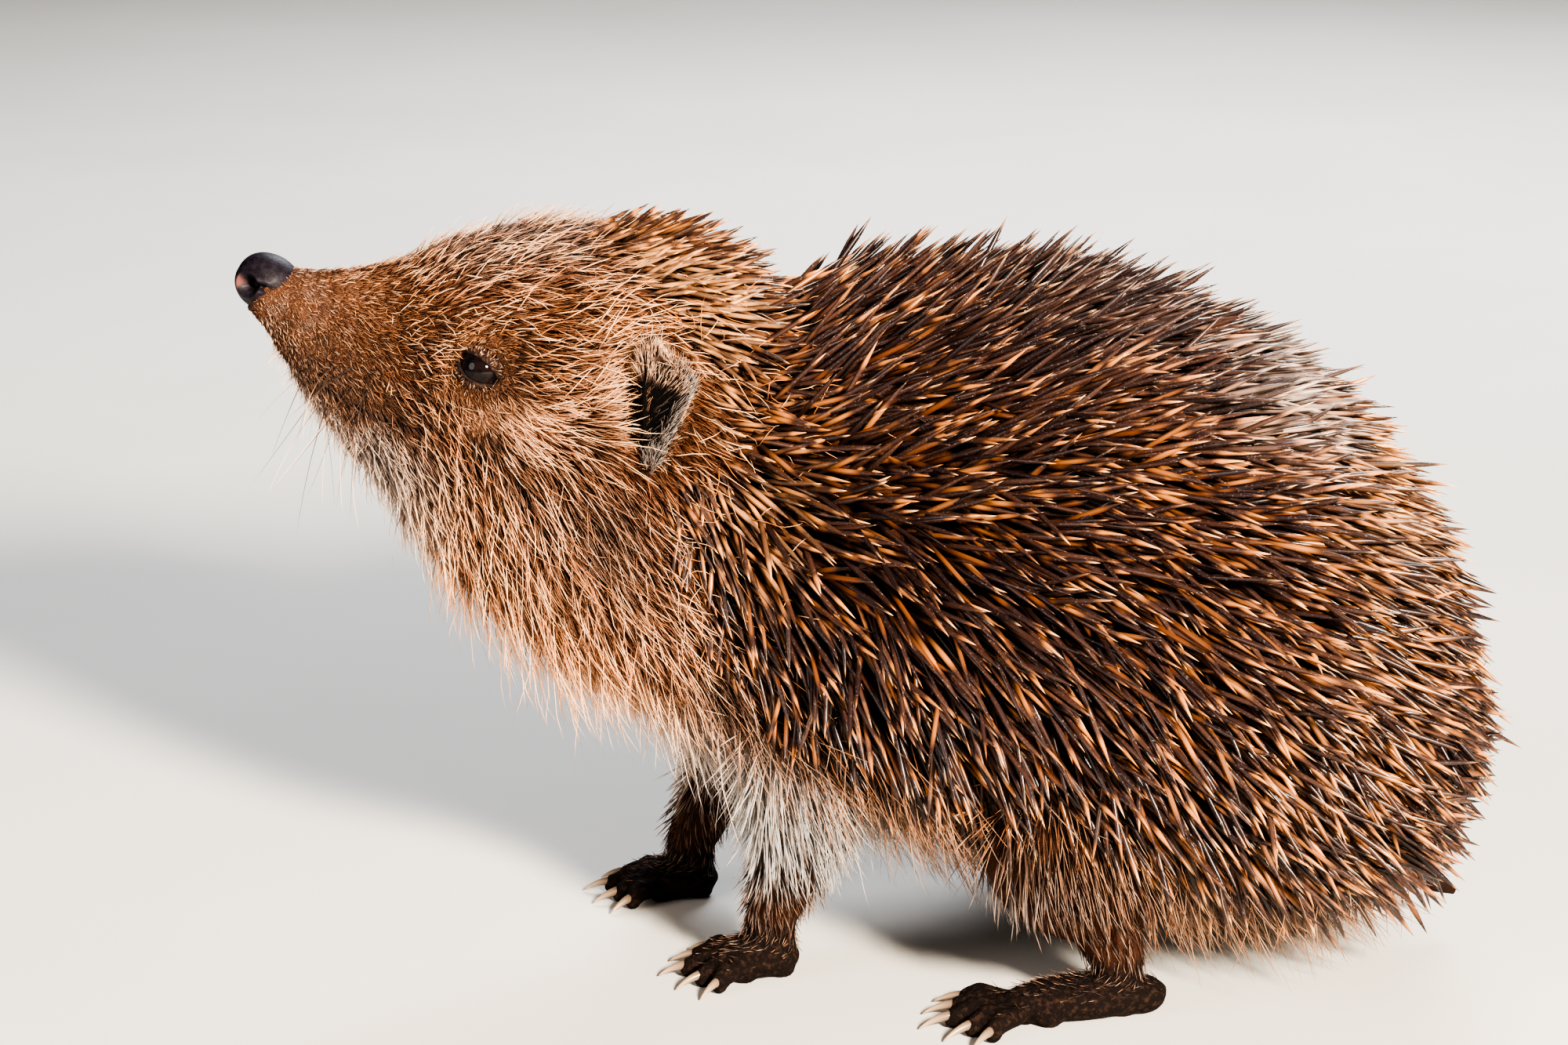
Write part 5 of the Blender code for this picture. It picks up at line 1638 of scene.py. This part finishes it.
def ear_sown(kind, count, rng):
    """One kind of hair on an ear: where each stands, its flow across, up and out of the ear's surface, its
    length, and the kind's pale, dark, grey and guard shares."""
    if kind == "rim":
        angle = rng.uniform(0.30, 1.0, count) * np.pi
        u, v = np.clip(-np.cos(angle), -0.5, 0.97), np.clip(0.50 + 0.48 * np.sin(angle), 0.02, 0.97)
        flow = (u + 0.35, 0.3 + 0.8 * v, rng.uniform(-0.2, 0.3, count))
        return u, v, flow, rng.uniform(0.5, 1.2, count), (0.75, 0.0, 0.0, 0.7)
    if kind == "tuft":
        u, v = rng.uniform(-0.6, 0.75, count), rng.uniform(0.66, 0.96, count)
        flow = (0.6 * u + 0.25, 0.9 + 0 * u, rng.uniform(0.1, 0.55, count))
        return u, v, flow, rng.uniform(1.8, 3.8, count), (0.5, 0.0, 0.35, 0.7)
    if kind == "wall":
        u, v = rng.uniform(-0.55, 0.96, count), rng.uniform(0.0, 0.86, count)
        flow = (0.62 + 0 * u, 0.60 + 0.6 * v, rng.uniform(0.02, 0.20, count))
        length = rng.uniform(3.0, 6.0, count) * (1 - 0.62 * smooth(0.55, 0.97, u))
        return u, v, flow, length * (0.45 + 0.55 * smooth(-0.4, 0.2, u)), (0.35, 0.0, 1.0, 0.45)
    u, v = rng.uniform(-0.5, 0.97, count), rng.uniform(0.05, 0.97, count)
    flow = (0.3 * u + 0.3, 0.6 + 0.3 * v, np.full(count, -0.25))
    return u, v, flow, rng.uniform(1.4, 2.8, count), (0.15, 0.4, 0.0, 0.35)


def ear_hairs(side, kind, rng):
    """One kind of hair on one ear: its places, the ear's normals there, the unwrap, directions, bends,
    lengths and looks. On the wall the hair is thin, short and dark, as painted shadow, round an uneven
    oval, the ear's opening, and in front."""
    turn, root, flip = ear_place(side)
    count = EAR_HAIRS[kind]
    u, v, flow, length, look = ear_sown(kind, count, rng)
    across, up, inner = ear_frame(u, v)
    facing = -inner if kind == "behind" else inner
    lie = across * flow[0][:, None] + up * flow[1][:, None] + inner * flow[2][:, None]
    at = ((ear_sheet(u, v, 0.0) + (0.42 - 0.16 * v)[:, None] * facing) @ turn.T + root) * flip
    direction = (unit(lie + rng.normal(0, 0.10, (count, 3))) @ turn.T) * flip
    uv = np.stack([0.3 + 0.1 * side + at[:, 0] * 0.002, 0.2 + at[:, 2] * 0.0005], -1)
    looks = np.tile(look, (count, 1))
    looks[:, 3] = rng.random(count) < looks[:, 3]
    keep = np.ones(count, bool)
    if kind == "wall":
        # Painted shadow: round the ear's opening the hair is dark and sparse.
        away = ((u + 0.06) / 0.74) ** 2 + ((v - 0.52) / 0.35) ** 2
        away = away + 0.45 * np.sin(9 * u + 5 * v) * np.cos(7 * v - 4 * u)
        shadow = np.maximum(np.exp(-(away**2)), smooth(-0.1, -0.4, u))
        looks[:, 1], looks[:, 3] = 0.75 * shadow, looks[:, 3] * (1 - shadow)
        length = length * (1 - 0.2 * shadow)
        keep = rng.random(count) > 0.95 * smooth(0.10, 0.6, shadow)
    bend = (inner @ turn.T) * flip * ((0.045 if kind == "wall" else 0.02) * length)[:, None]
    fields = (at, (facing @ turn.T) * flip, uv, direction, bend, length, looks)
    return [field[keep] for field in fields]


class HEDGEHOG_OT_ear_fur(bpy.types.Operator):
    """Hair on the ears: silver hair that sweeps back and up over the cup's inner wall, a short pale fringe
    on the rim, a tuft on its top, and dark hair with pale tips behind."""

    bl_idname = "hedgehog.ear_fur"
    bl_label = "Ear fur"

    def execute(self, context):
        rng = np.random.default_rng(SEED + 4)
        columns = [ear_hairs(side, kind, rng) for side in (-1, 1) for kind in EAR_HAIRS]
        at, facing, uv, direction, bend, length, looks = (np.concatenate(column) for column in zip(*columns))
        count = len(length)
        masks = dict(zip(("pale", "dark", "grey", "guard"), looks.T))
        bend = bend + rng.normal(0, 0.05, (count, 3))
        radius, tint = 0.042 * rng.uniform(0.8, 1.25, count), rng.random(count)
        roots = Roots(at, facing, 0 * at, uv)
        built = strands(roots, direction, bend, length, radius, tint, masks, HAIR_PROFILE)
        coat_piece("ear_fur", built, "fur")
        return {"FINISHED"}


WHISKERS, LONG_WHISKERS = 260, 44


class HEDGEHOG_OT_whiskers(bpy.types.Operator):
    """Whiskers: long thin strands from the pads beside the nose that sweep down and back, and short pale
    bristles under the jaw. Each stands on the skin's point nearest to a random place beside or under the
    muzzle."""

    bl_idname = "hedgehog.whiskers"
    bl_label = "Whiskers"

    def execute(self, context):
        rng = np.random.default_rng(SEED + 5)
        count = WHISKERS
        far = np.arange(count) < LONG_WHISKERS
        side = np.where(np.arange(count) % 2, 1.0, -1.0)
        want = np.stack([rng.uniform(-84, -72, count), 7.5 + 0 * side, rng.uniform(84, 94, count)], -1)
        jaw = rng.uniform(-92, -70, count)
        aside, below = rng.uniform(1.0, 5.0, count), rng.uniform(0.5, 6.0, count)
        low = np.stack([jaw, aside, lip_height(jaw) - below], -1)
        want = np.where(far[:, None], want, low)
        flat = folded(POINTS[: int(np.searchsorted(STATION, 5.5))]).reshape(-1, 3)
        nearest = np.array([np.argmin(np.sum((flat - point) ** 2, 1)) for point in want])
        mirror = np.stack([0 * side + 1, side, 0 * side + 1], -1)
        at, normal = flat[nearest] * mirror, folded(NORMALS.reshape(-1, 3)[nearest]) * mirror
        uv = body_unwrap((nearest // TABLE_COLUMNS).astype(float), (nearest % TABLE_COLUMNS).astype(float))
        lie = np.stack([rng.uniform(-0.7, 0.5, count), 0.8 * side, rng.uniform(-1.0, -0.1, count)], -1)
        lie[:, 1] *= np.where(far, 1.0, 0.25)
        direction = unit(lie + normal * np.where(far, 0.4, 0.7)[:, None])
        bend = np.stack([rng.uniform(-0.25, 0.30, count), -0.35 * side, rng.uniform(-0.55, -0.15, count)], -1)
        length = np.where(far, rng.uniform(12, 24, count), rng.uniform(1.8, 4.0, count))
        bend = bend * np.where(far, 1.0, 0.4)[:, None]
        roots = Roots(at - normal * 0.2, normal, 0 * at, uv)
        tint = rng.random(count)
        dark = np.where((tint < 0.6) & far, 1.0, 0.0)
        masks = {"pale": np.where(far, 0.1, 1.0), "dark": dark, "grey": 0.3 * ~far, "guard": 1.0 - dark}
        radius = np.where(far, 0.09, 0.05)
        built = strands(roots, direction, bend, length, radius, tint, masks, WHISKER_PROFILE, 4)
        coat_piece("whiskers", built, "fur")
        return {"FINISHED"}


# ---- Stage -----------------------------------------------------------------
CAMERA_AIM, CAMERA_RISE, CAMERA_AWAY, CAMERA_LENS = (-12.0, 0.0, 66.3), 15.0, 666.7, 100.0


Lamp = namedtuple("Lamp", "name location size share colour")
LAMPS = (  # metres, and the share of the key light's power
    Lamp("key", (0.42, -0.85, 0.50), 0.16, 1.0, (1.0, 0.87, 0.70)),
    Lamp("fill", (-0.85, -0.55, 0.45), 0.6, 0.11, (1.0, 0.93, 0.85)),
    Lamp("rim", (0.20, 0.75, 0.65), 0.5, 0.22, (0.90, 0.94, 1.0)),
)
LAMP_AIM = (0, 0, 0.06)
SKY, SKY_STRENGTH = (0.80, 0.84, 0.88, 1), 0.08
FLOOR_REACH = 6000


def aimed(name, data, location, target):
    """An object at a place, turned so that its view runs to the target."""
    obj = bpy.data.objects.new(name, data)
    bpy.context.scene.collection.objects.link(obj)
    obj.location = location
    obj.rotation_euler = (Vector(target) - Vector(location)).to_track_quat("-Z", "Y").to_euler()
    return obj


class HEDGEHOG_OT_stage(bpy.types.Operator):
    """Floor, soft lights and the camera, which looks square at the left side from a little above."""

    bl_idname = "hedgehog.stage"
    bl_label = "Stage"

    def execute(self, context):
        a = np.array([-FLOOR_REACH, FLOOR_REACH])
        grid = np.stack(np.meshgrid(a, a, [0.0], indexing="ij"), -1).reshape(-1, 3)
        floor = mesh_object("floor", grid - SHIFT, [np.array([[0, 2, 3, 1]])], material("floor"), False)
        for lamp in LAMPS:
            light = bpy.data.lights.new(lamp.name, "AREA")
            light.shape, light.size, light.color = "DISK", lamp.size, lamp.colour
            light.energy = context.scene.hedgehog.key_power * lamp.share
            aimed(lamp.name, light, lamp.location, LAMP_AIM)
        world = bpy.data.worlds.new("studio")
        world.use_nodes = True
        back = world.node_tree.nodes["Background"]
        back.inputs[0].default_value = SKY
        back.inputs[1].default_value = SKY_STRENGTH
        context.scene.world = world
        context.scene.view_settings.look = "AgX - High Contrast"
        data = bpy.data.cameras.new("camera")
        data.lens, data.sensor_width, data.sensor_fit = CAMERA_LENS, 36.0, "HORIZONTAL"
        data.clip_start, data.clip_end = 0.01, 30.0
        rise = np.radians(CAMERA_RISE)
        away = np.array([0, -np.cos(rise), np.sin(rise)]) * CAMERA_AWAY
        context.scene.camera = aimed("camera", data, place(np.array(CAMERA_AIM) + away), place(CAMERA_AIM))
        return {"FINISHED"}


class HEDGEHOG_PT_panel(bpy.types.Panel):
    """The settings, and a button for each piece."""

    bl_idname = "HEDGEHOG_PT_panel"
    bl_label = "Hedgehog"
    bl_space_type = "VIEW_3D"
    bl_region_type = "UI"
    bl_category = "Hedgehog"

    def draw(self, context):
        """Lists the settings and the operators in order."""
        for name in HedgehogSettings.__annotations__:
            self.layout.prop(context.scene.hedgehog, name)
        for operator in OPERATORS:
            self.layout.operator(operator.bl_idname)


OPERATORS = (
    HEDGEHOG_OT_skin,
    HEDGEHOG_OT_nose,
    HEDGEHOG_OT_eyes,
    HEDGEHOG_OT_claws,
    HEDGEHOG_OT_spines,
    HEDGEHOG_OT_face_fur,
    HEDGEHOG_OT_body_fur,
    HEDGEHOG_OT_limb_fur,
    HEDGEHOG_OT_ear_fur,
    HEDGEHOG_OT_whiskers,
    HEDGEHOG_OT_stage,
)
CLASSES = (HedgehogSettings, *OPERATORS, HEDGEHOG_PT_panel)


def register():
    """Adds the classes and gives the scene its settings."""
    for cls in CLASSES:
        bpy.utils.register_class(cls)
    bpy.types.Scene.hedgehog = bpy.props.PointerProperty(type=HedgehogSettings)


def unregister():
    """Takes the settings and the classes away again."""
    del bpy.types.Scene.hedgehog
    for cls in reversed(CLASSES):
        bpy.utils.unregister_class(cls)


def main():
    register()
    for operator in OPERATORS:
        group, name = operator.bl_idname.split(".")
        getattr(getattr(bpy.ops, group), name)()
    bpy.context.view_layer.update()


if __name__ == "__main__":
    main()
